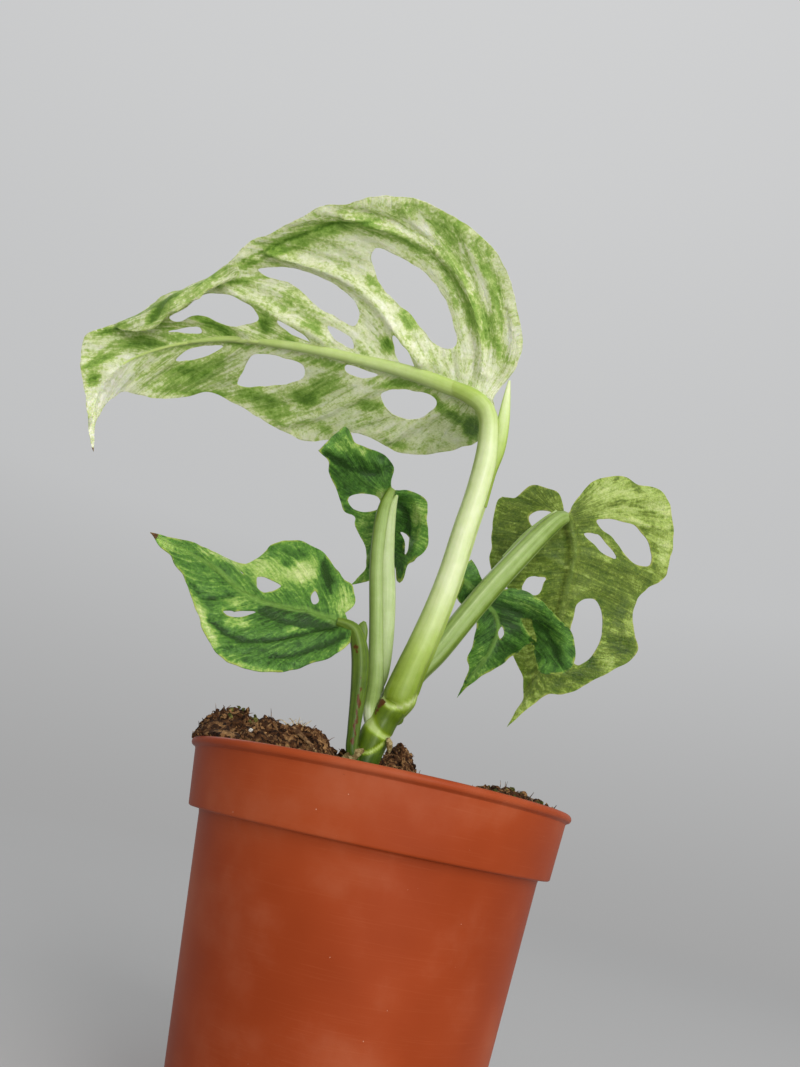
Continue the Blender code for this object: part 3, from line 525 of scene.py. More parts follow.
def blade_body(shape, sheet, fields):
    """Closed blade with its midrib, folds and wavy margin."""
    flat = sheet["flat"]
    middle = to_depth(flat, lie_surface(shape["lie"])(flat))
    normal = sheet_normals(middle, sheet["faces"])
    near_margin = np.exp(-sheet["margin"] / 3)
    relief = shape["waviness"] * wave(middle, WAVE_LENGTH, shape["seed"]) * (0.35 + 0.65 * near_margin)
    for line, height, width in shape["folds"]:
        relief += height * np.exp(-(line_distance(flat, line) / width) ** 2)
    arch = np.sin(np.pi * np.clip(fields["across"] % 1, 0, 1)) - 0.6
    pleat = np.sin(2 * np.pi * (PLEATS_PER_VEIN * fields["across"] + 0.5 * wave(middle, WAVE_LENGTH, 3.3)))
    inner = np.clip(sheet["margin"] / 1.5, 0.2, 1) * np.clip(sheet["rib_distance"] / 4, 0, 1)
    relief += (shape["quilting"] * arch + shape["pleating"] * pleat) * inner
    across_rib = np.clip(sheet["rib_distance"] / rib_width(sheet["rib_radius"]), 0, 1)
    swell = sheet["rib_radius"] * np.cos(0.5 * np.pi * across_rib) ** 1.25
    taper = np.clip(sheet["margin"] / MARGIN_TAPER, 0, 1)
    half = 0.5 * (MARGIN_THICKNESS + (BLADE_THICKNESS - MARGIN_THICKNESS) * taper)
    forward = shape["rib_forward"]
    front = middle + normal * (relief + half + (1 + forward) * RIB_SWELL * swell)[:, None]
    back = middle + normal * (relief - half - (1 - forward) * RIB_SWELL * swell)[:, None]
    return closed_shell(front, back, sheet["faces"])


def grow_leaf(shape):
    """Points, faces and fields of a whole blade."""
    sheet = fine_sheet(shape)
    fields = blade_fields(shape, sheet)
    points, faces = blade_body(shape, sheet, fields)
    return points, faces, {label: np.tile(values, 2) for label, values in fields.items()}


print("blades are", BLADE_THICKNESS, "mm thick and", MARGIN_THICKNESS, "mm at the margin")

# %% [markdown]
# ## Small tools for building materials
# A material is a little network of nodes. Naming each kind of link once keeps the recipes short:
# a tone becomes a colour on a ramp, noise is stretched along veins, and a mask mixes two colours.
# Colours are written as they look on screen, from 0 to 255, and turned into the linear values that
# a shader needs, so that they can be compared with a paint chart.

# %% Node helpers
def paint(red, green, blue):
    """Linear colour with alpha from display values between 0 and 255."""
    linear = [((value / 255 + 0.055) / 1.055) ** 2.4 if value > 10.3 else value / 255 / 12.92
              for value in (red, green, blue)]
    return (*linear, 1)


def shades(*stops):
    """Stops of a colour ramp from (position, red, green, blue)."""
    return [(position, paint(*colour)) for position, *colour in stops]


def feed(tree, socket, value):
    """Link another node's socket, or set a plain value."""
    if isinstance(value, bpy.types.NodeSocket):
        tree.links.new(value, socket)
    else:
        socket.default_value = value


def make_node(tree, kind, **values):
    """New shader node, fed with values by its sockets' names."""
    node = tree.nodes.new("ShaderNode" + kind)
    for label, value in values.items():
        feed(tree, node.inputs[label.replace("_", " ")], value)
    return node


def calculate(tree, operation, first, second=0, clamp=False):
    node = make_node(tree, "Math")
    node.operation = operation
    node.use_clamp = clamp
    feed(tree, node.inputs[0], first)
    feed(tree, node.inputs[1], second)
    return node.outputs[0]


def times(tree, first, second):
    return calculate(tree, "MULTIPLY", first, second)


def plus(tree, first, second, clamp=False):
    return calculate(tree, "ADD", first, second, clamp)


def spread(tree, value, from_low, from_high, to_low=0, to_high=1, smooth=True):
    """The value moved from one range to another, which it doesn't leave."""
    node = make_node(tree, "MapRange", Value=value, From_Min=from_low, From_Max=from_high,
                     To_Min=to_low, To_Max=to_high)
    node.interpolation_type = "SMOOTHSTEP" if smooth else "LINEAR"
    return node.outputs["Result"]


def colour_socket(sockets, name):
    return next(socket for socket in sockets if socket.name == name and socket.type == "RGBA")


def mix_colours(tree, share, first, second):
    node = make_node(tree, "Mix", Factor=share)
    node.data_type = "RGBA"
    feed(tree, colour_socket(node.inputs, "A"), first)
    feed(tree, colour_socket(node.inputs, "B"), second)
    return colour_socket(node.outputs, "Result")


def cloud_noise(tree, place, scale, detail=3, roughness=0.5, distortion=0):
    return make_node(tree, "TexNoise", Vector=place, Scale=scale, Detail=detail, Roughness=roughness,
                     Distortion=distortion).outputs["Fac"]


def field(tree, label):
    """A number kept at the points of the mesh."""
    node = make_node(tree, "Attribute")
    node.attribute_name = label
    return node.outputs["Fac"]


def stretched(tree, across, along, seed=0):
    """A vector made of three numbers."""
    return make_node(tree, "CombineXYZ", X=across, Y=along, Z=seed).outputs[0]


def place_in_mm(tree):
    """The place on the object, in millimetres."""
    place = make_node(tree, "TexCoord").outputs["Object"]
    scale = make_node(tree, "VectorMath")
    scale.operation = "SCALE"
    feed(tree, scale.inputs[0], place)
    scale.inputs["Scale"].default_value = 1 / MM
    return scale.outputs["Vector"]


def colour_ramp(tree, value, stops):
    """Colour for a number between 0 and 1, from (position, colour) stops."""
    node = make_node(tree, "ValToRGB", Fac=value)
    elements = node.color_ramp.elements
    while len(elements) < len(stops):
        elements.new(0.5)
    for element, (position, colour) in zip(elements, stops):
        element.position = position
        element.color = colour
    return node.outputs["Color"]


def bump(tree, height, strength, distance_mm):
    node = make_node(tree, "Bump", Height=height, Strength=strength, Distance=distance_mm * MM)
    return node.outputs["Normal"]


def new_material(name, **fixed):
    """Material with a Principled BSDF, whose unchanging values are set on its own sockets."""
    material = bpy.data.materials.new(name)
    material.use_nodes = True
    shader = material.node_tree.nodes["Principled BSDF"]
    for label, value in fixed.items():
        shader.inputs[label.replace("_", " ")].default_value = value
    return material, material.node_tree, shader


def new_group(name, inputs, outputs):
    """Empty shader node group; an input given as None takes a vector, and all else is numbers."""
    group = bpy.data.node_groups.new(name, "ShaderNodeTree")
    for label, value in inputs.items():
        kind = "NodeSocketVector" if value is None else "NodeSocketFloat"
        socket = group.interface.new_socket(label, in_out="INPUT", socket_type=kind)
        if value is not None:
            socket.default_value = value
    for label in outputs:
        group.interface.new_socket(label, in_out="OUTPUT", socket_type="NodeSocketFloat")
    entry = group.nodes.new("NodeGroupInput").outputs
    leave = group.nodes.new("NodeGroupOutput").inputs
    return group, entry, leave


def place_group(tree, group, **values):
    """The group inside a material, fed with values by their names."""
    node = make_node(tree, "Group")
    node.node_tree = group
    for label, value in values.items():
        feed(tree, node.inputs[label.replace("_", " ")], value)
    return node.outputs


print("terracotta of 157, 78, 47 in linear light:", np.round(paint(157, 78, 47)[:3], 3))

# %% [markdown]
# ## Tent cloth
# The first material is the tent's own. How far a place is from the pot decides whether it is matt
# floor or glowing wall, and its height decides how bright it glows: a little darker near the floor,
# brightest overhead. That gentle fall-off is what a wall lit by a window shows.

# %% Tent material
tent_cloth, tree, shader = new_material(
    "tent_cloth", Roughness=0.95, Specular_IOR_Level=0, Emission_Strength=1)
spot = make_node(tree, "SeparateXYZ")
feed(tree, spot.inputs[0], make_node(tree, "TexCoord").outputs["Object"])
out_x, out_y = (times(tree, spot.outputs[axis], spot.outputs[axis]) for axis in "XY")
wall_share = spread(tree, calculate(tree, "SQRT", plus(tree, out_x, out_y)), *FLOOR_REACH)
wall_share = calculate(tree, "MAXIMUM", wall_share, spread(tree, spot.outputs["Z"], 0, 0.02))
black = (0, 0, 0, 1)
glow = colour_ramp(tree, calculate(tree, "DIVIDE", spot.outputs["Z"], TENT_HEIGHT), WALL_GLOW)
feed(tree, shader.inputs["Base Color"], mix_colours(tree, wall_share, FLOOR_GREY, black))
feed(tree, shader.inputs["Emission Color"], mix_colours(tree, wall_share, black, glow))
tent_cloth.cycles.emission_sampling = "NONE"
tent.data.materials.append(tent_cloth)
print("tent cloth on", tent.name)

# %% [markdown]
# ## Effects that several materials share
# An effect that comes back is made once, as a node group with inputs of its own. Vein marks turn
# the vein coordinates of leaves and stalks into torn streaks and thin lines. Skin gives plant tissue
# and soil their faint cellular unevenness. Dust is a film with small pale specks, here on the pot.

# %% Shared node groups
vein_marks, entry, leave = new_group(
    "vein_marks", {"Across": 0, "Along": 0, "Fineness": 5, "Stretch": 0.16, "Seed": 0},
    ["Streaks", "Blotches", "Side veins", "Fine veins", "Net"])
tree = vein_marks


def along_veins(across_share, along_share):
    """Noise place that is stretched along the veins."""
    return stretched(tree, times(tree, entry["Across"], across_share),
                     times(tree, entry["Along"], along_share), entry["Seed"])


fine_place = along_veins(entry["Fineness"], entry["Stretch"])
feed(tree, leave["Streaks"], cloud_noise(tree, fine_place, 1, detail=5, roughness=0.68, distortion=0.6))
broad_place = along_veins(1.7, 0.16)
blotches = cloud_noise(tree, broad_place, 1, detail=3, roughness=0.6, distortion=0.8)
feed(tree, leave["Blotches"], blotches)
bent = plus(tree, entry["Across"], times(tree, blotches, 0.12))
for label, count, width in (("Side veins", 1, 0.05), ("Fine veins", 4, 0.2)):
    folded = calculate(tree, "PINGPONG", times(tree, bent, count), 0.5)
    line = spread(tree, folded, 0, width, 1, 0)
    here = spread(tree, cloud_noise(tree, broad_place, 2.3, detail=1), 0.4, 0.65)
    feed(tree, leave[label], times(tree, line, here))
net_place = along_veins(2.6, 0.42)
net = make_node(tree, "TexVoronoi", Vector=net_place)
net.feature = "DISTANCE_TO_EDGE"
feed(tree, leave["Net"], spread(tree, net.outputs["Distance"], 0, 0.09, 1, 0))

skin, entry, leave = new_group(
    "living_skin", {"Place": None, "Cells per mm": 3}, ["Height", "Mottle", "Flecks"])
cells = make_node(skin, "TexVoronoi", Vector=entry["Place"], Scale=entry["Cells per mm"])
cells.feature = "SMOOTH_F1"
feed(skin, leave["Height"], cells.outputs["Distance"])
feed(skin, leave["Mottle"], cloud_noise(skin, entry["Place"], 0.42, detail=4, roughness=0.62))
feed(skin, leave["Flecks"], cloud_noise(skin, entry["Place"], 1.5, detail=3, roughness=0.6, distortion=0.4))

dust, entry, leave = new_group(
    "settled_dust", {"Place": None, "Specks per mm": 0.5, "Amount": 0.5}, ["Specks", "Film"])
specks = make_node(dust, "TexVoronoi", Vector=entry["Place"], Scale=entry["Specks per mm"])
speck_size = spread(dust, cloud_noise(dust, entry["Place"], 0.11, detail=1), 0.42, 0.75, 0, 0.14)
speck_size = times(dust, speck_size, entry["Amount"])
feed(dust, leave["Specks"], calculate(dust, "LESS_THAN", specks.outputs["Distance"], speck_size))
feed(dust, leave["Film"], cloud_noise(dust, entry["Place"], 0.07, detail=5, roughness=0.6))
print("groups:", ", ".join(group.name for group in bpy.data.node_groups))

# %% [markdown]
# ## Leaf finish
# The tone painted on the sheet becomes a colour on a ramp from dark green through lime to cream.
# Before that, streaks and blotches are added to it, so the borders tear along the veins. The rib
# and the side veins are paler, and a thin rim follows the margin. Light shines a little way through
# a living blade, which a weak subsurface glow stands for.

# %% Leaf material
TEARING_SHARES = {"Streaks": 1.3, "Blotches": 0.6, "Mottle": 0.7, "Flecks": 0.75}
TEARING = 0.85
CRISPNESS = 0.2


def torn_tone(tree, marks, tissue):
    """The painted tone, torn up by streaks, blotches and flecks into patches with crisp borders."""
    tone = field(tree, "tone")
    for label, share in TEARING_SHARES.items():
        source = marks if label in ("Streaks", "Blotches") else tissue
        lift = times(tree, calculate(tree, "SUBTRACT", source[label], 0.5), share * TEARING)
        tone = plus(tree, tone, lift)
    crisp = spread(tree, tone, 0.38, 0.66, 0, CRISPNESS)
    return plus(tree, crisp, times(tree, tone, 1 - CRISPNESS), clamp=True)


def living_material(name, glow, depth, cells_per_mm, **vein_values):
    """Material of living tissue with its vein marks and skin; light glows to a depth in metres."""
    material, tree, shader = new_material(
        name, Subsurface_Weight=glow, Subsurface_Scale=depth, Subsurface_Radius=(0.7, 1, 0.3),
        Specular_IOR_Level=0.3)
    place = place_in_mm(tree)
    marks = place_group(tree, vein_marks, Across=field(tree, "across"), Along=field(tree, "along"),
                        **vein_values)
    return material, tree, shader, marks, place_group(tree, skin, Place=place, Cells_per_mm=cells_per_mm)


def leaf_material(name, stops, rim_colour, rib_colour, seed, fineness=5.5, stretch=0.18, vein_share=0.25,
                  net_share=0.32, rib_share=0.6, roughness=0.44):
    material, tree, shader, marks, tissue = living_material(
        name, 0.35, 0.0015, 1.7, Fineness=fineness, Stretch=stretch, Seed=seed)
    colour = colour_ramp(tree, torn_tone(tree, marks, tissue), stops)
    veins = times(tree, marks["Side veins"],
                  spread(tree, field(tree, "along"), 0, 22, vein_share, 0.2 * vein_share))
    colour = mix_colours(tree, veins, colour, rib_colour)
    dark_lines = plus(tree, times(tree, marks["Fine veins"], 0.12),
                      times(tree, marks["Net"], net_share), clamp=True)
    colour = mix_colours(tree, dark_lines, colour, stops[0][1])
    rim = spread(tree, field(tree, "margin"), 0.1, 0.42, 0.6, 0)
    rim = times(tree, rim, spread(tree, tissue["Mottle"], 0.46, 0.6))
    colour = mix_colours(tree, rim, colour, rim_colour)
    colour = mix_colours(tree, spread(tree, field(tree, "rib"), 0.3, 0.8, 0, rib_share), colour, rib_colour)
    colour = mix_colours(tree, spread(tree, field(tree, "brown"), 0.3, 0.7), colour, paint(92, 56, 34))
    feed(tree, shader.inputs["Base Color"], colour)
    feed(tree, shader.inputs["Roughness"],
         spread(tree, tissue["Mottle"], 0.2, 0.8, roughness - 0.06, roughness + 0.08, smooth=False))
    lines = plus(tree, marks["Fine veins"], marks["Net"])
    puckers = times(tree, plus(tree, tissue["Mottle"], marks["Streaks"]), 2)
    height = plus(tree, times(tree, tissue["Height"], 0.4),
                  calculate(tree, "SUBTRACT", puckers, times(tree, lines, 0.5)))
    feed(tree, shader.inputs["Normal"], bump(tree, height, 0.7, 0.16))
    return material


cream_leaf = leaf_material(
    "variegated_blade",
    shades((0, 84, 118, 30), (0.15, 118, 150, 56), (0.3, 148, 174, 84), (0.45, 172, 190, 112),
           (0.6, 194, 206, 142), (0.8, 222, 228, 190), (1, 240, 242, 222)),
    paint(134, 148, 78), paint(198, 216, 128), seed=3, fineness=6, stretch=0.15,
    vein_share=0.3, net_share=0.1, rib_share=1, roughness=0.5)
green_leaf = leaf_material(
    "green_blade",
    shades((0, 36, 66, 16), (0.15, 62, 104, 34), (0.32, 90, 134, 50), (0.5, 120, 158, 66),
           (0.75, 158, 186, 96), (1, 206, 218, 150)),
    paint(168, 178, 80), paint(120, 158, 68), seed=8)
olive_leaf = leaf_material(
    "olive_blade",
    shades((0, 50, 70, 14), (0.15, 78, 98, 28), (0.32, 104, 122, 42), (0.5, 128, 146, 58),
           (0.75, 160, 178, 92), (1, 198, 208, 140)),
    paint(168, 170, 92), paint(112, 138, 58), seed=13, rib_share=0.3)
print("leaf materials:", cream_leaf.name, green_leaf.name, olive_leaf.name)

# %% [markdown]
# ## The pot
# A nursery pot is blown or moulded from thin polypropylene: a tapered body, a deep collar that
# stiffens it, a rolled rim and drainage holes in its base. All of it is turned about one axis, so
# it is drawn as one profile and swept round. The base is a triangulated disc with round holes,
# because a swept profile can't have holes that lie off its axis.

# %% Pot profile and mesh
POT_HEIGHT = 62
RIM_RADIUS = 35
RIM_BEAD = 1.4
COLLAR_TOP_RADIUS = 34.1
COLLAR_FOOT_RADIUS = 32.6
COLLAR_FOOT = POT_HEIGHT - 11.2
BODY_TOP_RADIUS = 30.6
BASE_RADIUS = 23.5
BASE_THICKNESS = 1.6
BASE_FILLET = 0.9
COLLAR_FILLET = 0.45
WALL = 1.1
POT_SECTORS = 168
DRAIN_HOLES = 8
DRAIN_HOLE_RADIUS = 2.4
DRAIN_CIRCLE = 17.5
DRAIN_SIDES = 28


def arc(centre, radius, start, end, count):
    """Points of a fillet in the profile, from one angle to another in degrees."""
    angles = np.radians(np.linspace(start, end, count))
    return [(centre[0] + radius * math.cos(angle), centre[1] + radius * math.sin(angle)) for angle in angles]


def pot_profile():
    """Radius and height from the base's underside, up outside, over the rim and down inside."""
    bead = RIM_BEAD / 2
    foot, ease = BASE_FILLET, COLLAR_FILLET
    profile = arc((BASE_RADIUS - foot, foot), foot, -90, -8, 8)
    profile += [(BASE_RADIUS + (BODY_TOP_RADIUS - BASE_RADIUS) * share, foot + (COLLAR_FOOT - foot) * share)
                for share in np.linspace(0.05, 0.985, 16)]
    profile += arc((BODY_TOP_RADIUS + 0.35, COLLAR_FOOT - 0.35), 0.35, 180, 90, 4)
    profile += arc((COLLAR_FOOT_RADIUS - ease, COLLAR_FOOT + ease), ease, -90, -5, 6)
    profile += [(COLLAR_FOOT_RADIUS + (COLLAR_TOP_RADIUS - COLLAR_FOOT_RADIUS) * share,
                 COLLAR_FOOT + ease + (POT_HEIGHT - RIM_BEAD - 0.25 - COLLAR_FOOT - ease) * share)
                for share in np.linspace(0.06, 1, 7)]
    profile += arc((RIM_RADIUS - bead, POT_HEIGHT - bead), bead, -80, 90, 10)
    profile += arc((COLLAR_TOP_RADIUS - WALL + 0.6, POT_HEIGHT - 0.6), 0.6, 90, 180, 6)
    profile += [(COLLAR_TOP_RADIUS - WALL - 0.1, POT_HEIGHT - 2.5),
                (COLLAR_FOOT_RADIUS - WALL, COLLAR_FOOT + WALL),
                (BODY_TOP_RADIUS - WALL, COLLAR_FOOT - WALL), (BASE_RADIUS - WALL, BASE_THICKNESS)]
    return np.array(profile)


def circle(radius, count, centre=(0, 0)):
    angles = 2 * math.pi * np.arange(count) / count
    return np.column_stack([centre[0] + radius * np.cos(angles), centre[1] + radius * np.sin(angles)])


def swept_rings(rings):
    """Faces between successive rings of equal length, stacked in one list of points."""
    count = len(rings[0])
    faces = []
    for low in range(0, (len(rings) - 1) * count, count):
        high = low + count
        for i in range(count):
            j = (i + 1) % count
            faces.append((low + i, low + j, high + j, high + i))
    return np.vstack(rings), faces


def gather(parts):
    """Several (points, faces) as the points and faces of one mesh."""
    points, faces, total = [], [], 0
    for part_points, part_faces in parts:
        points.append(part_points)
        faces += [tuple(corner + total for corner in face) for face in part_faces]
        total += len(part_points)
    return np.vstack(points), faces


def at_height(flat, height):
    """Flat points lifted to one height."""
    return np.column_stack([flat, np.full(len(flat), height)])


def drain_circles():
    """Outlines of the drainage holes, evenly round the base."""
    angles = [2 * math.pi * (hole + 0.5) / DRAIN_HOLES for hole in range(DRAIN_HOLES)]
    centres = [(DRAIN_CIRCLE * math.cos(angle), DRAIN_CIRCLE * math.sin(angle)) for angle in angles]
    return [circle(DRAIN_HOLE_RADIUS, DRAIN_SIDES, centre) for centre in centres]


def make_pot(material):
    profile = pot_profile()
    parts = [swept_rings([at_height(circle(radius, POT_SECTORS), height) for radius, height in profile])]
    for (radius, height), turn in ((profile[0], -1), (profile[-1], 1)):
        disc, disc_faces = triangulate([circle(radius, POT_SECTORS)] + drain_circles())
        parts.append((at_height(disc, height), [face[::turn] for face in disc_faces]))
    for rim in drain_circles():
        parts.append(swept_rings([at_height(rim, profile[-1][1]), at_height(rim, profile[0][1])]))
    pot = add_piece("nursery_pot", *gather(parts), [material], sharp_angle=40)
    bm = bmesh.new()
    bm.from_mesh(pot.data)
    bmesh.ops.remove_doubles(bm, verts=bm.verts, dist=1e-6)
    bm.to_mesh(pot.data)
    bm.free()
    return pot


print("profile of the pot:", len(pot_profile()), "points")

# %% [markdown]
# ## Pot plastic
# Recycled terracotta-coloured plastic is dull to satin. It is never quite one colour: there are faint
# flow clouds from the mould, fine horizontal rubbing marks, a film of dust and a few pale specks.
# This pot is nearly new, so the rubbing and the dust are faint. Where the film lies, it is duller.

# %% Pot material and piece
plastic, tree, shader = new_material("terracotta_plastic", Specular_IOR_Level=0.1)
place = place_in_mm(tree)
settled = place_group(tree, dust, Place=place, Specks_per_mm=0.55, Amount=0.4)
clouds = cloud_noise(tree, place, 0.035, detail=3)
colour = colour_ramp(tree, spread(tree, clouds, 0.3, 0.7),
                     shades((0, 136, 53, 20), (0.5, 145, 59, 25), (1, 154, 67, 32)))
squash = make_node(tree, "VectorMath")
squash.operation = "MULTIPLY"
feed(tree, squash.inputs[0], place)
squash.inputs[1].default_value = (0.12, 0.12, 6)
rubbing = cloud_noise(tree, squash.outputs["Vector"], 1, detail=2)
colour = mix_colours(tree, spread(tree, rubbing, 0.55, 0.8, 0, 0.05), colour, paint(214, 132, 92))
colour = mix_colours(tree, spread(tree, settled["Film"], 0.45, 0.8, 0, 0.08), colour, paint(206, 160, 130))
colour = mix_colours(tree, times(tree, settled["Specks"], 0.55), colour, paint(226, 196, 170))
feed(tree, shader.inputs["Base Color"], colour)
feed(tree, shader.inputs["Roughness"], spread(tree, settled["Film"], 0.2, 0.8, 0.40, 0.54, smooth=False))
grain = cloud_noise(tree, place, 5.5, detail=3, roughness=0.6)
feed(tree, shader.inputs["Normal"], bump(tree, plus(tree, grain, rubbing), 0.22, 0.03))
pot = make_pot(plastic)
settle(pot, ["pot"])

# %% [markdown]
# ## The soil
# Peat-based potting mix heaps up round a freshly potted plant. Its main form is a level top with
# a few mounds, the same heights as the solid has. On this ground lie thousands of loose crumbs of
# many sizes, thin root fibres, white perlite grains, and a little moss where it stays damp.
# Crumbs that are real meshes catch the light on their own faces, which bump can't do.

# %% Soil surface
SOIL_LEVEL = 60.2
MOUNDS = [
    # (x, y, height, width in x, width in y), in mm
    (-31, -8, 3.7, 5, 9), (-22, -9, 5.6, 6, 8), (-12.4, -7, 5, 3.8, 6), (-9, 7, 4.6, 3.5, 4),
    (2.8, 9, 8.2, 3.2, 5), (24, 2, 4, 7, 8), (-8, 20, 3, 12, 6),
]
CRUMB_SIZE = 3
CRUMB_HEIGHT = 1.7
SOIL_RINGS = 84
SOIL_SECTORS = 250
SOIL_REACH = COLLAR_TOP_RADIUS - WALL - 0.2
SPILL_WIDTH = 2.3


def lattice(x, y, seed):
    wave_value = np.sin(x * 127.1 + y * 311.7 + seed) * 43758.5453
    return 2 * (wave_value - np.floor(wave_value)) - 1


def crumbs(x, y):
    """Smooth lattice noise between -1 and 1."""
    total = np.zeros_like(x)
    for size, share, seed in ((CRUMB_SIZE, 0.65, 1.3), (CRUMB_SIZE * 0.53, 0.35, 7.9)):
        u, v = x / size, y / size
        i, j = np.floor(u), np.floor(v)
        fu, fv = u - i, v - j
        fu, fv = fu * fu * (3 - 2 * fu), fv * fv * (3 - 2 * fv)
        low = lattice(i, j, seed) * (1 - fu) + lattice(i + 1, j, seed) * fu
        high = lattice(i, j + 1, seed) * (1 - fu) + lattice(i + 1, j + 1, seed) * fu
        total += share * (low * (1 - fv) + high * fv)
    return total


def soil_height(x, y):
    x, y = np.atleast_1d(x).astype(float), np.atleast_1d(y).astype(float)
    height = SOIL_LEVEL + CRUMB_HEIGHT * crumbs(x, y)
    for centre_x, centre_y, rise, width_x, width_y in MOUNDS:
        height += rise * np.exp(-0.5 * (((x - centre_x) / width_x) ** 2 + ((y - centre_y) / width_y) ** 2))
    return height


def heap_top(x, y):
    """Height of the heaped soil, which spills over the rim where it stands higher than the rim."""
    x, y = np.atleast_1d(x).astype(float), np.atleast_1d(y).astype(float)
    reach = np.maximum(np.hypot(x, y), 1e-6)
    inner = np.minimum(reach, SOIL_REACH) / reach
    height = soil_height(x * inner, y * inner)
    past = np.clip((reach - SOIL_REACH) / SPILL_WIDTH, 0, 1)
    return height + (np.minimum(POT_HEIGHT, height) - height) * past ** 1.6


def soil_ground():
    """Closed body of soil: the pot's inside below, and a finely crumbled top that spills over the rim."""
    angles = 2 * math.pi * np.arange(SOIL_SECTORS) / SOIL_SECTORS
    side = np.column_stack([np.cos(angles), np.sin(angles)])
    rings = []
    for radius, height in ((0.02, BASE_THICKNESS + 0.1), (BASE_RADIUS - WALL - 0.2, BASE_THICKNESS + 0.1),
                           (BODY_TOP_RADIUS - WALL - 0.2, COLLAR_FOOT - WALL),
                           (COLLAR_FOOT_RADIUS - WALL - 0.2, COLLAR_FOOT + WALL + 0.2),
                           (SOIL_REACH, POT_HEIGHT - 2.5)):
        rings.append(np.column_stack([radius * side, np.full(SOIL_SECTORS, height)]))
    brim = soil_height(*(SOIL_REACH * side).T)
    spill = SPILL_WIDTH * np.clip((brim - POT_HEIGHT - 0.3) / 1.5, 0, 1)
    for share in (0.9, 0.6, 0.3):
        place = side * (SOIL_REACH + spill * share)[:, None]
        rough = np.array([noise.noise(Vector((a, b, 4)) * 0.8) for a, b in place])
        rings.append(np.column_stack([place, heap_top(*place.T) + 0.5 * rough * (spill > 0)]))
    for step in range(SOIL_RINGS):
        place = side * (SOIL_REACH * (1 - step / SOIL_RINGS) + 0.02)
        rough = np.array([noise.fractal(Vector((a, b, 0)) * 0.9, 0.7, 2.1, 4) for a, b in place])
        rings.append(np.column_stack([place, soil_height(*place.T) + 0.6 * rough]))
    return swept_rings(rings)


print("the soil near the stem is", heap_top(0.5, 0.5)[0].round(1), "mm high")

# %% [markdown]
# ## Crumbs, fibres and perlite
# Each crumb is a small rounded block pulled out of shape by noise. Copying a few sizes
# thousands of times would be wasteful as separate objects, so they are gathered into one mesh.
# Fibres are thin bent tubes, laid at random in seeded directions and pressed into the surface.

# %% Loose matter on the soil
CRUMB_COUNT = 3400
SPILLED_CRUMBS = 320
LYING_FIBRES = 200
STANDING_FIBRES = 900
PALE_ROOTS = 22
PERLITE_COUNT = 40
MOSS_COUNT = 130
FIBRE_STEPS = 8
HEAP_SIDE = (150, 208)
random = np.random.default_rng(7)


def pebble(subdivisions):
    """Unit ball of triangles as points and faces."""
    bm = bmesh.new()
    bmesh.ops.create_icosphere(bm, subdivisions=subdivisions, radius=1)
    points = np.array([tuple(vert.co) for vert in bm.verts])
    faces = [tuple(vert.index for vert in face.verts) for face in bm.faces]
    bm.free()
    return points, faces


def random_spot(reach):
    radius = reach * math.sqrt(random.random())
    angle = random.random() * 2 * math.pi
    return radius * math.cos(angle), radius * math.sin(angle)


def heap_spot(inner, outer):
    """A random spot on the heap that leans on the rim at the left."""
    angle = math.radians(random.uniform(*HEAP_SIDE))
    radius = random.uniform(inner, outer)
    return radius * math.cos(angle), radius * math.sin(angle)


def scatter_lumps(spots, sizes, roughness, lift, squash_range=(0.55, 1)):
    """One mesh of misshapen lumps at the spots."""
    small, small_faces = pebble(1)
    large, large_faces = pebble(2)
    lumps = []
    for (x, y), size in zip(spots, sizes):
        ball, ball_faces = (large, large_faces) if size > 0.7 else (small, small_faces)
        shift = Vector(random.random(3) * 50)
        swell = [1 + roughness * noise.noise(Vector(point) * 1.3 + shift) for point in ball]
        lump = ball * np.array(swell)[:, None] * size * random.uniform(*squash_range, 3)
        angle = random.random() * 6.28
        turn = np.array(Matrix.Rotation(angle, 3, Vector(random.random(3) - 0.5).normalized()))
        lumps.append((lump @ turn + (x, y, heap_top(x, y)[0] + lift * size), ball_faces))
    return gather(lumps)


def thin_tube(route, radius, sides=5):
    """Points and faces of a closed thin tube along a route in mm."""
    route = np.array(route)
    heading = np.gradient(route, axis=0)
    heading /= np.linalg.norm(heading, axis=1)[:, None]
    side = np.cross(heading, (0, 0, 1)) + (1e-6, 0, 0)
    side /= np.linalg.norm(side, axis=1)[:, None]
    up = np.cross(side, heading)
    rings = []
    for share, centre, a, b in zip(np.linspace(0, 1, len(route)), route, side, up):
        angles = 2 * math.pi * np.arange(sides) / sides
        thin = radius * (1 - 0.75 * share)
        rings.append(centre + thin * (np.outer(np.cos(angles), a) + np.outer(np.sin(angles), b)))
    points, faces = swept_rings(rings)
    faces += [tuple(reversed(range(sides))), tuple(len(points) - sides + i for i in range(sides))]
    return points, faces


def scatter_fibres(spots, lengths, thickness, rise, curl):
    """One mesh of thin bent fibres; rise is the range of their starting slope in degrees."""
    fibres = []
    for x, y in spots:
        angle = random.random() * 6.28
        slope = math.radians(random.uniform(*rise))
        bend, droop = random.normal(0, curl, 2)
        step = random.uniform(*lengths) / FIBRE_STEPS
        z = heap_top(x, y)[0] - 0.2
        route = []
        for _ in range(FIBRE_STEPS):
            route.append((x, y, z))
            x += step * math.cos(angle) * math.cos(slope)
            y += step * math.sin(angle) * math.cos(slope)
            z = max(z + step * math.sin(slope), heap_top(x, y)[0] + 0.1)
            angle += bend
            slope -= abs(droop)
        fibres.append(thin_tube(route, random.uniform(*thickness)))
    return gather(fibres)


print("crumbs to strew:", CRUMB_COUNT + SPILLED_CRUMBS)

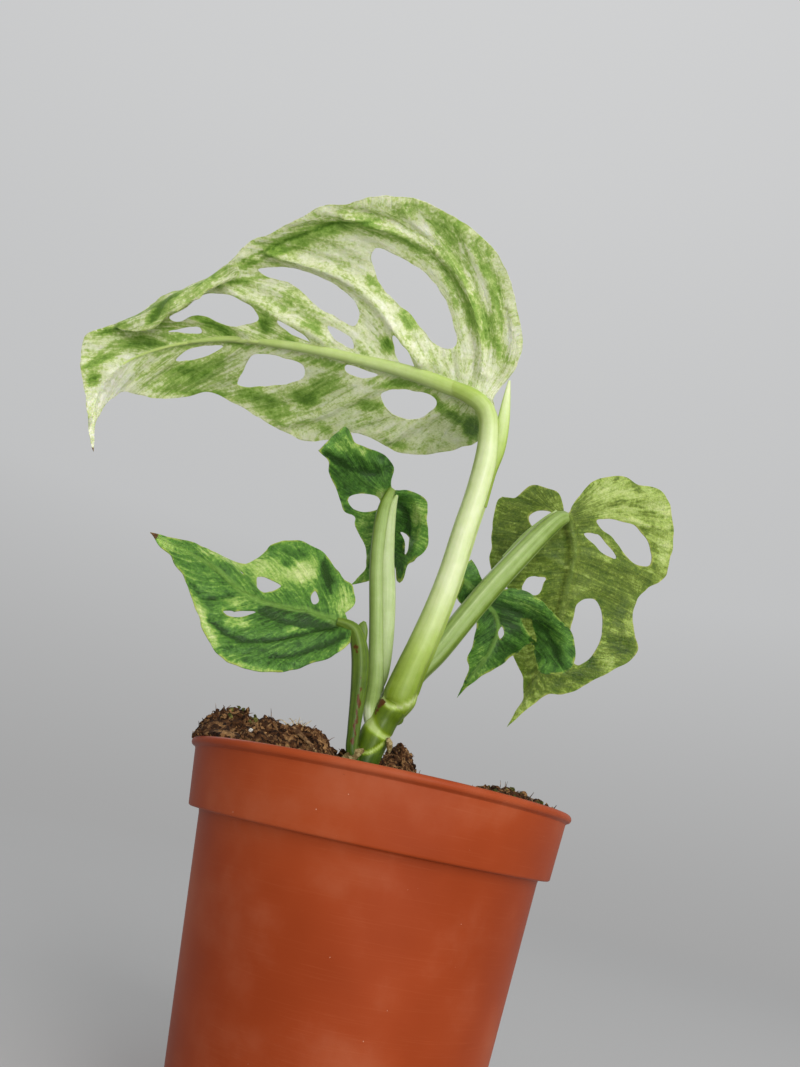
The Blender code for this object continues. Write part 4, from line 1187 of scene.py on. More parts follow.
# %% [markdown]
# ## Colours of the loose matter
# Peat, fibres, perlite and moss are all dry and matt, so they share one recipe and differ in three
# colours only. Cells of chance tone make every crumb a little lighter or darker than the next one,
# which a single brown could never do. Then each kind is strewn over the ground in its own way.

# %% Soil materials
def crumbly_material(name, dark, middle, light):
    """Dry, matt matter of one colour family, different from lump to lump."""
    material, tree, shader = new_material(name, Specular_IOR_Level=0.18)
    place = place_in_mm(tree)
    tissue = place_group(tree, skin, Place=place, Cells_per_mm=1.6)
    grains = make_node(tree, "TexVoronoi", Vector=place, Scale=1.5)
    each = make_node(tree, "SeparateColor", Color=grains.outputs["Color"])
    tone = plus(tree, times(tree, cloud_noise(tree, place, 0.5, detail=5, roughness=0.7), 0.62),
                times(tree, each.outputs["Red"], 0.38))
    tone = spread(tree, tone, 0.28, 0.76, smooth=False)
    colour = colour_ramp(tree, tone, shades((0, *dark), (0.55, *middle), (1, *light)))
    feed(tree, shader.inputs["Base Color"], colour)
    feed(tree, shader.inputs["Roughness"], spread(tree, tissue["Mottle"], 0.2, 0.8, 0.87, 0.95))
    height = plus(tree, cloud_noise(tree, place, 3, detail=5, roughness=0.7), tissue["Height"])
    feed(tree, shader.inputs["Normal"], bump(tree, height, 1, 0.4))
    return material


peat = crumbly_material("peat", (28, 15, 7), (86, 54, 29), (178, 136, 88))
fibre_brown = crumbly_material("root_fibre", (70, 46, 28), (122, 88, 56), (176, 144, 102))
pale_root = crumbly_material("dried_root", (150, 128, 92), (198, 180, 142), (226, 214, 184))
perlite_white = crumbly_material("perlite", (196, 190, 180), (226, 222, 214), (240, 238, 232))
papery = crumbly_material("papery_sheath", (84, 68, 38), (136, 116, 72), (184, 166, 120))
moss_green = crumbly_material("moss", (40, 42, 16), (78, 80, 34), (132, 128, 66))


def add_loose(name, points, faces, material):
    settle(add_piece(name, points, faces, [material], sharp_angle=70), ["soil"])


add_loose("soil_ground", *soil_ground(), peat)
spots = [random_spot(31.8) for _ in range(CRUMB_COUNT)]
spots += [heap_spot(30, 35.2) for _ in range(SPILLED_CRUMBS)]
sizes = np.clip(random.lognormal(-1, 0.45, len(spots)), 0.15, 1.3)
add_loose("loose_crumbs", *scatter_lumps(spots, sizes, 0.8, 0.3, (0.4, 1)), peat)
spots = [random_spot(30.5) for _ in range(LYING_FIBRES)]
add_loose("root_fibres", *scatter_fibres(spots, (2, 6.5), (0.06, 0.16), (0, 20), 0.2), fibre_brown)
spots = [random_spot(32) for _ in range(STANDING_FIBRES)]
spots += [heap_spot(31, 35) for _ in range(STANDING_FIBRES // 6)]
add_loose("peat_fibres", *scatter_fibres(spots, (0.8, 2.4), (0.08, 0.2), (10, 85), 0.2), peat)
spots = [(random.normal(-16.6, 1.2), random.normal(-9.5, 1.2)) for _ in range(PALE_ROOTS)]
add_loose("dried_roots", *scatter_fibres(spots, (2, 4.6), (0.1, 0.2), (20, 85), 0.3), pale_root)
root_route = [(-16.6, -12.2, 66.4), (-15.2, -13, 65.8), (-13.4, -14, 64.7), (-11.9, -14.8, 63.6),
              (-10.6, -15.5, 62.6)]
add_loose("old_root", *thin_tube(smooth_curve(root_route, 0.5), 0.55, sides=12), fibre_brown)
spots = [random_spot(30) for _ in range(PERLITE_COUNT)]
spots += [(-33.4, -3), (-32.8, -5), (-33, -6.4), (-1.6, -5.2), (0.6, -6), (1.6, -7.4), (3.6, -6.4)]
sizes = random.uniform(0.3, 0.8, len(spots))
add_loose("perlite_grains", *scatter_lumps(spots, sizes, 0.5, 0.6, (0.6, 1)), perlite_white)
spots = [(random.normal(-29, 3), random.normal(-6, 5)) for _ in range(MOSS_COUNT // 2)]
spots += [(random.normal(24, 4), random.normal(-2, 5)) for _ in range(MOSS_COUNT // 2)]
spots = [(x, y) for x, y in spots if math.hypot(x, y) < 33]
sizes = random.uniform(0.25, 0.6, len(spots))
add_loose("moss_bits", *scatter_lumps(spots, sizes, 0.9, 0.7, (0.6, 1)), moss_green)

# %% [markdown]
# ## Stalks and stem
# A young Monstera's stalks are juicy and almost round. Each has a shallow groove down its inner side
# and the remains of a sheath that once wrapped the next leaf. A loft is the natural way to make them:
# rings of points follow the drawn centre line, and each ring's radius is changed a little with
# the angle round it and with the way along it.

# %% Loft along a drawn centre line
STALK_SIDES = 44
THIN_SIDES = 28
STALK_STEP = 0.7
LINES_ROUND = 12  # across numbers on the way round a stalk, as if it had so many veins


def ring_frames(route):
    """Side and front directions across a route, with the front towards -Y."""
    heading = np.gradient(route, axis=0)
    heading /= np.linalg.norm(heading, axis=1)[:, None]
    front = np.array([0, -1, 0]) - heading * (-heading[:, 1])[:, None]
    front /= np.linalg.norm(front, axis=1)[:, None]
    return np.cross(front, heading) * -1, front


def loft(drawn, profile, sides=STALK_SIDES, step=STALK_STEP):
    """Closed stalk as points, faces and fields; the profile gives shares of the radius (side, front)."""
    path = smooth_curve(drawn, step)
    route = to_depth(path[:, :2], path[:, 2])
    lengths = np.append(0, np.cumsum(np.linalg.norm(np.diff(route, axis=0), axis=1)))
    side, front = ring_frames(route)
    turn = 2 * math.pi * np.arange(sides) / sides
    rings, across, along = [], [], []
    for centre, radius, a, b, length in zip(route, path[:, 3], side, front, lengths):
        wide, deep = profile(turn)
        rings.append(centre + radius * (np.outer(wide * np.sin(turn), a) + np.outer(deep * np.cos(turn), b)))
        across.append(turn / (2 * math.pi) * LINES_ROUND)
        along.append(np.full(sides, length))
    points, faces = swept_rings(rings)
    faces = [tuple(reversed(face)) for face in faces]
    count = len(points)
    points = np.vstack([points, route[0], route[-1]])
    last = count - sides
    faces += [(i, (i + 1) % sides, count) for i in range(sides)]
    faces += [(last + (i + 1) % sides, last + i, count + 1) for i in range(sides)]
    fields = {"across": np.append(np.concatenate(across), [0, 0]),
              "along": np.append(np.concatenate(along), [0, lengths[-1]])}
    return points, faces, fields


def bell(turn, centre, width):
    """1 at the angle centre, falling off to both sides; angles in degrees, 0 in front and 90 at right."""
    distance = (np.degrees(turn) - centre + 180) % 360 - 180
    return np.exp(-(distance / width) ** 2)


def join(parts):
    """Several (points, faces, fields) as one."""
    fields = {label: np.concatenate([part[2][label] for part in parts]) for label in parts[0][2]}
    return *gather([part[:2] for part in parts]), fields


print("stalks have", STALK_SIDES, "sides and a ring every", STALK_STEP, "mm")

# %% [markdown]
# ## Stalk finish
# The stalk of the pale leaf and the stem are creamy green; the older stalks are greyer and more
# streaked, so there are two ramps of one recipe. Pale lines run the whole length, a little wavy, and
# the surface is waxy with a soft broad shine. The tone field again sets how green each place is.

# %% Stalk material
def stalk_material(name, stops, seed, roughness, streaking):
    material, tree, shader, marks, tissue = living_material(
        name, 0.2, 0.002, 2.2, Fineness=1.6, Stretch=0.05, Seed=seed)
    tone = plus(tree, field(tree, "tone"),
                times(tree, calculate(tree, "SUBTRACT", marks["Streaks"], 0.5), streaking))
    tone = plus(tree, tone,
                times(tree, calculate(tree, "SUBTRACT", tissue["Mottle"], 0.5), 0.22), clamp=True)
    colour = colour_ramp(tree, tone, stops)
    scar = times(tree, field(tree, "brown"), spread(tree, tissue["Flecks"], 0.2, 0.8, 0.5, 1.5))
    colour = mix_colours(tree, spread(tree, scar, 0.4, 0.7), colour, paint(86, 50, 12))
    feed(tree, shader.inputs["Base Color"], colour)
    feed(tree, shader.inputs["Roughness"],
         spread(tree, tissue["Mottle"], 0.2, 0.8, roughness - 0.05, roughness + 0.1, smooth=False))
    height = plus(tree, times(tree, tissue["Height"], 0.3), marks["Streaks"])
    feed(tree, shader.inputs["Normal"], bump(tree, height, 0.35, 0.12))
    return material


STALK_COLOURS = shades((0, 42, 68, 8), (0.3, 114, 138, 20), (0.6, 162, 184, 90),
                       (0.85, 198, 212, 150), (1, 218, 226, 182))
OLD_STALK_COLOURS = shades((0, 42, 68, 14), (0.3, 102, 126, 38), (0.6, 146, 168, 98),
                           (0.85, 184, 198, 148), (1, 206, 215, 178))
stalk_green = stalk_material("stalk_skin", OLD_STALK_COLOURS, seed=5, roughness=0.45, streaking=0.42)
smooth_stalk = stalk_material("young_stalk_skin", STALK_COLOURS, seed=9, roughness=0.42, streaking=0.2)
print("stalk finishes:", stalk_green.name, smooth_stalk.name)

# %% [markdown]
# ## The stem
# The stem is a short zigzag of nodes. At each node a pale ring marks where a sheath was attached.
# The rings are drawn as lines on the stem's front, and the loft swells a little and turns paler
# along them. They run on over the feet of two stalks. A scrap of dry sheath stands at the stem's
# foot, and a brown spot sits in the axil of the main stalk.

# %% Stem piece
STEM = [
    # (x, height, depth, radius) along the centre line, from the root end up
    (-3.8, 40, 0, 2), (-3.9, 56, 0, 2.3), (-3.6, 62.5, 0, 2.4), (-3.1, 66.2, 0, 2.65),
    (-2.7, 68.8, 0.1, 2.9), (-2.1, 71, 0, 2.85), (-1.3, 73, -0.2, 2.65), (-0.4, 75.1, -0.5, 2.8),
    (0.2, 76.6, -0.6, 2.7), (0.9, 78.6, -0.9, 1.8), (1.4, 80.2, -1.1, 1),
]
SCARS = [
    # pale rings left by sheaths, each a line of (x, height, half-width) across the stem's front
    [(-2.8, 77.3, 0.3), (-2.3, 76.2, 0.4), (-1.3, 75.5, 0.45), (0.2, 75.3, 0.45), (1.8, 75.8, 0.45),
     (3.2, 76.9, 0.4), (3.9, 78.1, 0.25)],
    [(-5.2, 73.9, 1), (-4.6, 72.4, 1), (-3.6, 71.1, 0.85), (-2.3, 70.2, 0.65), (-0.8, 69.5, 0.5),
     (0.7, 69.3, 0.45)],
    [(-5.5, 66.5, 0.3), (-4, 65.9, 0.3), (-2.3, 66.6, 0.3), (-0.6, 68.3, 0.3)],
]
SCAR_SWELL = 0.18


def seen_from_front(points):
    """The drawn places (x, height) of points in space."""
    share = -EYE[1] / (points[:, 1] - EYE[1])
    return (EYE + (points - EYE) * share[:, None])[:, [0, 2]]


def scar_share(points):
    """1 on a leaf scar and 0 away from it."""
    drawn = seen_from_front(points)
    share = np.zeros(len(points))
    for scar in SCARS:
        line = smooth_curve(scar, 0.2)
        distance, which = nearest(drawn, line[:, :2])
        share = np.maximum(share, np.clip(1.5 * np.exp(-(distance / line[which, 2]) ** 2), 0, 1))
    return share


def stem_profile(turn):
    swell = 1 + 0.02 * np.sin(5 * turn + 1) + 0.012 * np.sin(9 * turn)
    return swell, swell


def dry_profile(turn):
    return np.ones_like(turn), 0.22 + 0.06 * np.sin(4 * turn)


def nub_profile(turn):
    return 1 + 0.1 * np.sin(3 * turn), np.ones_like(turn)


def swollen(points, faces, amount):
    """Points pushed outwards where a scar runs."""
    normals = sheet_normals(points, [face[:3] for face in faces])
    return points + normals * (scar_share(points) * amount)[:, None]


def brown_marks(points, spots):
    """1 on the brown spots (x, height, size) of a stalk's front, and 0 away from them."""
    drawn = seen_from_front(points)
    brown = np.zeros(len(points))
    for x, z, size in spots:
        brown = np.maximum(brown, np.exp(-(np.hypot(drawn[:, 0] - x, drawn[:, 1] - z) / size) ** 2))
    return brown


AXIL_BROWN = [(-2.55, 75.7, 0.85), (-2.9, 74.9, 0.6), (-3.1, 74.1, 0.45), (-3.3, 73.4, 0.32)]
points, faces, fields = loft(STEM, stem_profile, step=0.35)
fields["tone"] = np.interp(fields["along"], (24, 26.5, 33, 40), (0, 0.1, 0.13, 0.18))
fields["tone"] += 0.55 * scar_share(points)
fields["brown"] = brown_marks(points, AXIL_BROWN)
stem = add_piece("stem_nodes", swollen(points, faces, SCAR_SWELL), faces, [smooth_stalk], fields)
settle(stem, ["stem"])

DRY_SHEATH = [(-7.9, 62, -2.4, 1.1), (-6.8, 63.8, -2.8, 1.2), (-5.4, 65.4, -3, 0.9), (-4, 66.4, -3, 0.3)]
ROOT_NUB = [(0, 69.3, -1.8, 0.35), (0.35, 68.6, -2.2, 0.6), (0.6, 67.4, -2.3, 0.5), (0.7, 66.7, -2.2, 0.15)]
points, faces, _ = join([loft(DRY_SHEATH, dry_profile), loft(ROOT_NUB, nub_profile)])
settle(add_piece("dry_sheath", points, faces, [papery]), ["stem"])

# %% [markdown]
# ## The five leaf stalks
# Each stalk repeats the centre line of its solid. Sheaths are thin wings along one side, so they are
# lofts of their own with a flat section, sunk into the stalk they belong to.

# %% Stalks
STALKS = {
    "petiole_1": [
        (0.1, 73.8, 0.2, 1.9), (0.35, 75.2, -0.2, 2.6), (0.5, 76.6, -0.6, 3.15), (0.8, 78.8, -0.9, 3.2),
        (1.9, 84, -1.6, 2.95), (2.9, 88, -2.2, 2.85), (4.65, 96, -3.6, 2.65), (6, 104, -5.2, 2.5),
        (7.2, 114, -7.4, 2.45), (8.3, 122, -9, 2.4), (9, 130, -10.6, 2.35), (8.8, 136, -11.8, 2.1),
        (8.1, 140.6, -12.9, 1.95), (6.5, 143.8, -13.9, 1.85), (3.8, 145.7, -14, 1.75),
        (0.4, 146.8, -13.6, 1.6), (-3, 147.5, -13, 1.3), (-6, 148.1, -12.2, 0.9),
    ],
    "petiole_2": [
        (-4, 63.4, -1, 0.8), (-6.1, 65.4, -2.2, 1.1), (-6.7, 69.5, -2.5, 1.2), (-7.1, 74, -2.8, 1.4),
        (-7.5, 78, -3.3, 1.6), (-8.2, 82.3, -3.8, 1.7), (-9.2, 85.6, -4.4, 1.6), (-10.6, 88.2, -5.2, 1.4),
        (-12.4, 89.2, -5.8, 1.1), (-14.5, 89.5, -6.2, 0.8),
    ],
    "petiole_3": [
        (-3, 70.6, 0.6, 1.2), (-3.8, 72, 0, 1.5), (-4.2, 73.6, 0.1, 1.65), (-4.3, 75.6, 0.9, 1.7),
        (-4.4, 78, 1.7, 1.75), (-4.7, 80.5, 2.1, 1.7), (-5.5, 85, 2.2, 1.65), (-6.9, 92, 2, 1.6),
        (-8.8, 101, 1.8, 1.6), (-9.8, 108, 1.6, 1.6), (-10.2, 113.5, 1.6, 1.55), (-10, 117, 2, 1.3),
        (-9.6, 119.6, 3, 0.9),
    ],
    "petiole_4": [
        (0.7, 73.2, 1, 1.5), (1, 75.4, 3.5, 1.5), (1.5, 77.8, 5.4, 1.7), (2.9, 82.2, 6.4, 2.1),
        (6.1, 87.4, 7, 2.35), (10.3, 95.3, 8, 2.45), (14.5, 102.8, 10, 2.5), (18.6, 109.5, 12, 2.45),
        (23.2, 116.6, 14, 2.3), (26.4, 120.6, 15.6, 1.9), (28, 121.2, 17.8, 1.3),
    ],
    "petiole_5": [
        (-2.6, 67.4, 0.8, 1.1), (-2.5, 69.4, 3.8, 1.1), (-2.3, 71.6, 5.4, 1.15), (-2, 75, 6.4, 1.2),
        (-0.9, 80, 8, 1.25), (2.5, 88, 10.2, 1.25), (5.5, 95, 11.8, 1.2), (7.3, 100, 12.4, 1.1),
        (8.4, 103.4, 12.8, 0.9),
    ],
}
SHEATHS = {
    "petiole_1": [
        (10.2, 120, -9, 0.7), (10.3, 128, -10.4, 1.3), (11, 134, -11.4, 1.6), (11.3, 140, -12.2, 1.35),
        (11.2, 146, -12.8, 0.9), (11.1, 151.8, -13.2, 0.25),
    ],
    "petiole_2": [
        (-8.6, 84.5, -4.2, 0.8), (-9.2, 87, -4.4, 1.25), (-9.3, 89.2, -4.6, 1.1), (-9.1, 90.6, -4.8, 0.3),
    ],
    "petiole_3": [
        (-3.9, 77.5, 1.9, 0.9), (-3.8, 81, 2.1, 1.5), (-4.3, 86, 2, 1.8), (-5.2, 92, 1.8, 1.95),
        (-6.3, 98, 1.6, 1.95), (-7.6, 104, 1.4, 1.8), (-8.5, 110, 1.3, 1.6), (-8.9, 115, 1.4, 1.3),
        (-8.2, 118.8, 1.9, 0.3),
    ],
    "petiole_4": [
        (16.4, 109.4, 12, 0.9), (20.4, 115.2, 13.6, 1.3), (23.9, 120, 14.8, 0.9),
        (25.6, 122.4, 15.4, 0.3),
    ],
}


def stalk_profile(grooves):
    """Round section with (angle, width, depth) grooves; a negative depth is a ridge."""
    def profile(turn):
        shape = 1 + 0.012 * np.sin(7 * turn + 2) + 0.01 * np.sin(13 * turn)
        for angle, width, depth in grooves:
            shape = shape - depth * bell(turn, angle, width)
        return shape, shape
    return profile


def sheath_profile(turn):
    return np.ones_like(turn), np.full_like(turn, SHEATH_THINNESS)


GROOVES = {
    "petiole_1": [(72, 10, 0.07), (95, 16, -0.04), (-60, 30, 0.02)],
    "petiole_2": [(40, 14, 0.12), (-30, 16, 0.06)],
    "petiole_3": [(25, 12, 0.05)],
    "petiole_4": [(-28, 9, 0.08), (20, 9, 0.06), (60, 14, -0.04)],
    "petiole_5": [(0, 20, 0.08)],
}
STALK_TONES = {
    # tone at some ways along each stalk, in mm from its foot
    "petiole_1": ((0, 3, 9, 17, 28, 56, 65, 70, 73, 78),
                  (0.3, 0.34, 0.38, 0.64, 0.86, 0.82, 0.66, 0.57, 0.64, 0.74)),
    "petiole_2": ((0, 30), (0.1, 0.22)),
    "petiole_3": ((0, 3, 8, 14, 40, 52), (0.4, 0.45, 0.52, 0.62, 0.6, 0.44)),
    "petiole_4": ((0, 12, 50, 60), (0.36, 0.48, 0.56, 0.46)),
    "petiole_5": ((0, 40), (0.25, 0.3)),
}
STALK_BANDS_AND_SHADING = {
    # (angle, width, change of tone) of lengthwise bands
    # petiole_1's bands are a painted highlight down its front and painted shade along both sides
    "petiole_1": [(0, 45, 0.1), (-75, 25, -0.15), (80, 25, -0.15)],
    "petiole_3": [(-62, 34, -0.3)],
    "petiole_4": [(60, 14, -0.3), (-10, 10, 0.2), (-50, 10, -0.15)],
}
STALK_BROWN = {
    "petiole_1": AXIL_BROWN,
    "petiole_2": [(-9.7, 85.2, 0.6), (-9.4, 84.5, 0.45), (-8.9, 79, 0.3), (-7.6, 79.4, 0.3)]
    + [(-7.2 + 0.086 * (77.5 - z) + 0.22 * math.sin(2.3 * z), z, 0.36 + 0.12 * math.sin(1.7 * z))
       for z in np.linspace(77.5, 67, 24)],
    "petiole_3": AXIL_BROWN,
}

BAND_END = 68
SHEATH_THINNESS = 0.45
SHEATH_LIGHTER = {"petiole_1": 0.05, "petiole_2": 0.1, "petiole_3": 0.14, "petiole_4": 0.1}


def add_bands_and_shading(fields, name):
    """Lighter and darker lengthwise bands, real stripes and painted highlight and shade, which fade out
    towards the foot and at the blade.
    """
    turns = fields["across"] / LINES_ROUND * 2 * math.pi
    along = fields["along"]
    strength = np.clip((along - 2) / 6, 0, 1) * np.clip((BAND_END - along) / 8, 0, 1)
    for angle, width, change in STALK_BANDS_AND_SHADING.get(name, []):
        fields["tone"] += change * bell(turns, angle, width) * strength


def make_stalk(name):
    parts = [loft(STALKS[name], stalk_profile(GROOVES[name]))]
    if name in SHEATHS:
        parts.append(loft(SHEATHS[name], sheath_profile, sides=THIN_SIDES))
    points, faces, fields = join(parts)
    fields["tone"] = np.interp(fields["along"], *STALK_TONES[name])
    fields["tone"][len(parts[0][0]):] += SHEATH_LIGHTER.get(name, 0)
    add_bands_and_shading(fields, name)
    fields["brown"] = brown_marks(points, STALK_BROWN.get(name, []))
    if name in ("petiole_1", "petiole_3"):
        fields["tone"] += 0.45 * scar_share(points)
        points = swollen(points, faces, SCAR_SWELL)
    skin_finish = smooth_stalk if name == "petiole_1" else stalk_green
    piece = add_piece("stalk_" + name[-1], points, faces, [skin_finish], fields, sharp_angle=60)
    settle(piece, [name])


for name in STALKS:
    make_stalk(name)

# %% [markdown]
# ## The large variegated leaf
# The newest leaf is almost grown. It hangs forward from its stalk with the underside
# towards the front, so its midrib stands proud and pale. Long windows open between the side veins,
# and the strips between them are folded along those veins. The blade is mostly cream.

# %% The large variegated leaf
LEAF_1 = {"rib_forward": 0.3, "seed": 1.7, "pleating": 0.12, "ragged": 0.35,
          "waviness": 0.35, "quilting": 0.5, "ground": 0.7}
LEAF_1["outline"] = [
    [(9.5, 149.2), (11.6, 154.2), (12.7, 159.6), (11.6, 166.9), (9.5, 173.3), (6.6, 180.3), (2.5, 186.7),
     (-3.6, 191.9), (-10.5, 195.6), (-15, 197.5), (-20, 198.6), (-25, 198.1), (-30.5, 196.5),
     (-36, 192.8), (-40.2, 191.6), (-43.5, 189.3), (-46, 186.2), (-52, 179.8), (-55.5, 176.8),
     (-58.6, 171), (-60.2, 165.6)],
    [(-65, 162.1), (-68.9, 158.1), (-72.3, 155.3), (-75.9, 149.8), (-80.7, 146.2), (-84.8, 143),
     (-84.6, 139.6), (-83, 134), (-80, 128.1), (-77.1, 121.4), (-73.6, 115.1)],
    [(-75.5, 122.8), (-73.9, 128.3), (-71.4, 130.6), (-65, 130.3), (-58.9, 131.7), (-53.6, 134.4),
     (-46.9, 132.6), (-40, 130.1), (-31, 127.2), (-25, 128.7), (-21.5, 131.2), (-17.4, 131.2),
     (-10, 128.8), (-1.8, 130.3), (5.5, 134.2), (9.4, 138.4), (9.2, 142.6), (8.2, 146)],
]
LEAF_1["holes"] = [
    [(-26.6, 180.1), (-24.5, 181.5), (-16.4, 178.7), (-10, 174.2), (-5.7, 167.8), (-2.6, 160.6),
     (-3.2, 157.4), (-7.3, 157.8), (-13.6, 164), (-20.9, 169.2), (-25.5, 175.5)],
    [(-51.7, 169.2), (-44.6, 171.2), (-37.8, 170.5), (-29.2, 166.5), (-25.8, 161.5), (-26.5, 158.4),
     (-31.5, 160.1), (-36.5, 162.1), (-42.8, 166.5), (-49.2, 167.4)],
    [(-61.8, 159.6), (-55.7, 160.3), (-50.4, 158.3), (-48.4, 154.9), (-53.6, 152.3), (-61.4, 153.7),
     (-65.5, 151), (-68.2, 151.4), (-65.2, 155)],
    [(-16.6, 157.8), (-12.3, 154.2), (-10.5, 150.6), (-14.1, 150.9), (-15.9, 154.2)],
    [(-32.1, 157.1), (-26.5, 155.3), (-25.2, 152.3), (-29.6, 153.7)],
    [(-43.3, 156.2), (-37.8, 154), (-35.2, 152), (-41.9, 154)],
    [(-67.1, 147.8), (-61.4, 150.3), (-60, 148.7), (-65.4, 147.8)],
    [(-16.6, 141.9), (-13.6, 144), (-7.3, 144.6), (-3.9, 142.6), (-7.3, 137.8), (-13.2, 137.6)],
    [(-25.6, 147.9), (-21, 147.5), (-18.3, 146.7), (-21.8, 145), (-25.2, 145.9)],
    [(-46.5, 146.1), (-41, 146.7), (-36, 146.1), (-34.4, 142.4), (-39.2, 139.4), (-47.6, 137.5),
     (-47.8, 141.9)],
    [(-54.3, 146.7), (-61.4, 144.2), (-63.2, 140.6), (-57.5, 142.8)],
]
LEAF_1["lie"] = [
    (8, 142, -12.8), (-4.5, 147.8, -12.6), (-24, 149.6, -12), (-46.9, 149.6, -10), (-65, 144.6, -8),
    (-76.4, 133.9, -6.5), (-73.6, 115.1, -4), (9.5, 149.2, -14.4), (12.5, 159, -19), (8, 177, -27),
    (-3.6, 191.9, -33), (-20, 198.6, -36), (-36, 192.8, -34), (-46, 186.2, -30), (-56, 176.2, -23),
    (-62, 164, -17), (-72, 155, -13), (-80.7, 146.2, -10), (-84.6, 139.6, -7.5), (-80, 128.1, -5),
    (5.5, 134.2, 2), (-10, 128.8, 7), (-27.8, 127.6, 8), (-40, 130, 7), (-53.6, 134.4, 4),
    (-65, 130.3, 1), (-73, 129, -2), (-15, 170, -21), (-38, 168, -19.5),
]
print(len(LEAF_1["holes"]), "windows in the large leaf")

# %% [markdown]
# ## Its midrib, veins and folds
# The side veins are drawn from the midrib to the margin, first those of the upper half and then
# those of the lower half, each from the stalk's end to the tip. A fold is a line with a height: the
# blade rises along it, or sinks where the height is negative, and its half-width says how steeply.
# Where it sinks, the tone is also darkened along the line: painted shade in the crease.

# %% The large leaf's veins and folds
LEAF_1["midrib"] = [
    (4.6, 145.4, 1.6), (-4.5, 147.7, 1.4), (-16.4, 149.4, 1.2), (-33.3, 150.1, 0.9), (-51.5, 149.1, 0.7),
    (-65, 144.6, 0.45), (-74.6, 137, 0.2), (-77.4, 128.1, 0.15), (-75.6, 121, 0.1),
]
LEAF_1["veins"] = [
    [[(8, 147), (11.5, 153), (12.9, 160)], [(6.5, 147), (9.5, 158), (8.5, 170), (3, 185)],
     [(5, 147), (5, 160), (0, 174), (-8, 187), (-15, 197)],
     [(3, 147), (2, 160), (-3, 172), (-12, 184), (-24, 191), (-38, 192)],
     [(0, 147.6), (-5, 160), (-12, 172), (-26, 182), (-40, 186), (-50, 181)],
     [(-6, 149.2), (-12, 154), (-20, 163.5), (-28, 169.5), (-38, 173), (-48, 175.5), (-56, 176)],
     [(-16, 149.6), (-21, 156), (-30, 163), (-44, 168), (-60, 168)],
     [(-27, 150.3), (-35, 154.5), (-44, 157), (-52, 160), (-62, 163)],
     [(-40, 150.2), (-48, 152.5), (-57, 155), (-68, 158.5)],
     [(-48, 149.8), (-56, 152.5), (-63, 152.5), (-73, 154)],
     [(-57, 147.8), (-64, 149.5), (-70, 149), (-78, 148)],
     [(-66, 144.2), (-72, 145), (-79, 144), (-85, 142.5)], [(-72, 140), (-77, 139.5), (-84, 137)],
     [(-76.5, 132), (-79, 131), (-81.5, 130)], [(-76.8, 124), (-77.3, 122.5), (-77.8, 121)]],
    [[(6.5, 144.8), (8.5, 142), (9.3, 139)], [(4.5, 145), (5, 140), (5.2, 134)],
     [(2, 145.2), (-3, 140), (-8, 135), (-11, 129)], [(-3, 147), (-8, 141), (-14, 135), (-20, 130.5)],
     [(-12, 148.6), (-18, 142.5), (-26, 135), (-34, 128.5)],
     [(-22, 149.3), (-28, 143), (-36, 135.5), (-45, 131)],
     [(-34, 149.8), (-41, 143.5), (-48, 137.5), (-55, 133.5)],
     [(-46, 149.2), (-52, 143), (-58, 137), (-62, 131)],
     [(-56, 147.5), (-62, 140.5), (-66, 135), (-69, 130)],
     [(-65, 144), (-69, 138), (-71.5, 133), (-73, 129)],
     [(-72.5, 139), (-74, 134), (-74.8, 129.5), (-75.2, 126)], [(-77, 129), (-76.4, 124), (-75, 119)]],
]
LEAF_1["folds"] = [
    # (line, height, half-width)
    ([(-9, 152.2), (-13.5, 156), (-21, 164), (-28, 169.5), (-36, 172.5), (-50, 174.5)], 1.9, 1.7),
    ([(-32, 153), (-36.5, 155), (-44, 157), (-50, 159.5), (-59, 162)], 1.3, 1.3),
    ([(-48, 150.5), (-56, 153), (-63, 151.6)], 0.7, 1),
    ([(5, 152), (3, 160), (-1, 172), (-8, 181), (-20, 187), (-35, 189)], 1.1, 1.4),
    ([(-1, 142), (-6, 137.5), (-12, 132)], 0.9, 1.2),
    ([(-16.5, 144.5), (-21, 140.3), (-28, 134.5), (-36, 130.5)], 0.9, 1.3),
    ([(-51.5, 145.5), (-55, 139.5), (-60, 135)], 0.8, 1.3),
    ([(-27, 190), (-36, 187), (-46, 180), (-56, 170.5)], -0.4, 0.9),
    ([(-72, 145.2), (-78, 142), (-82, 136)], -0.3, 0.8),
]
print(sum(len(family) for family in LEAF_1["veins"]), "side veins in the large leaf")
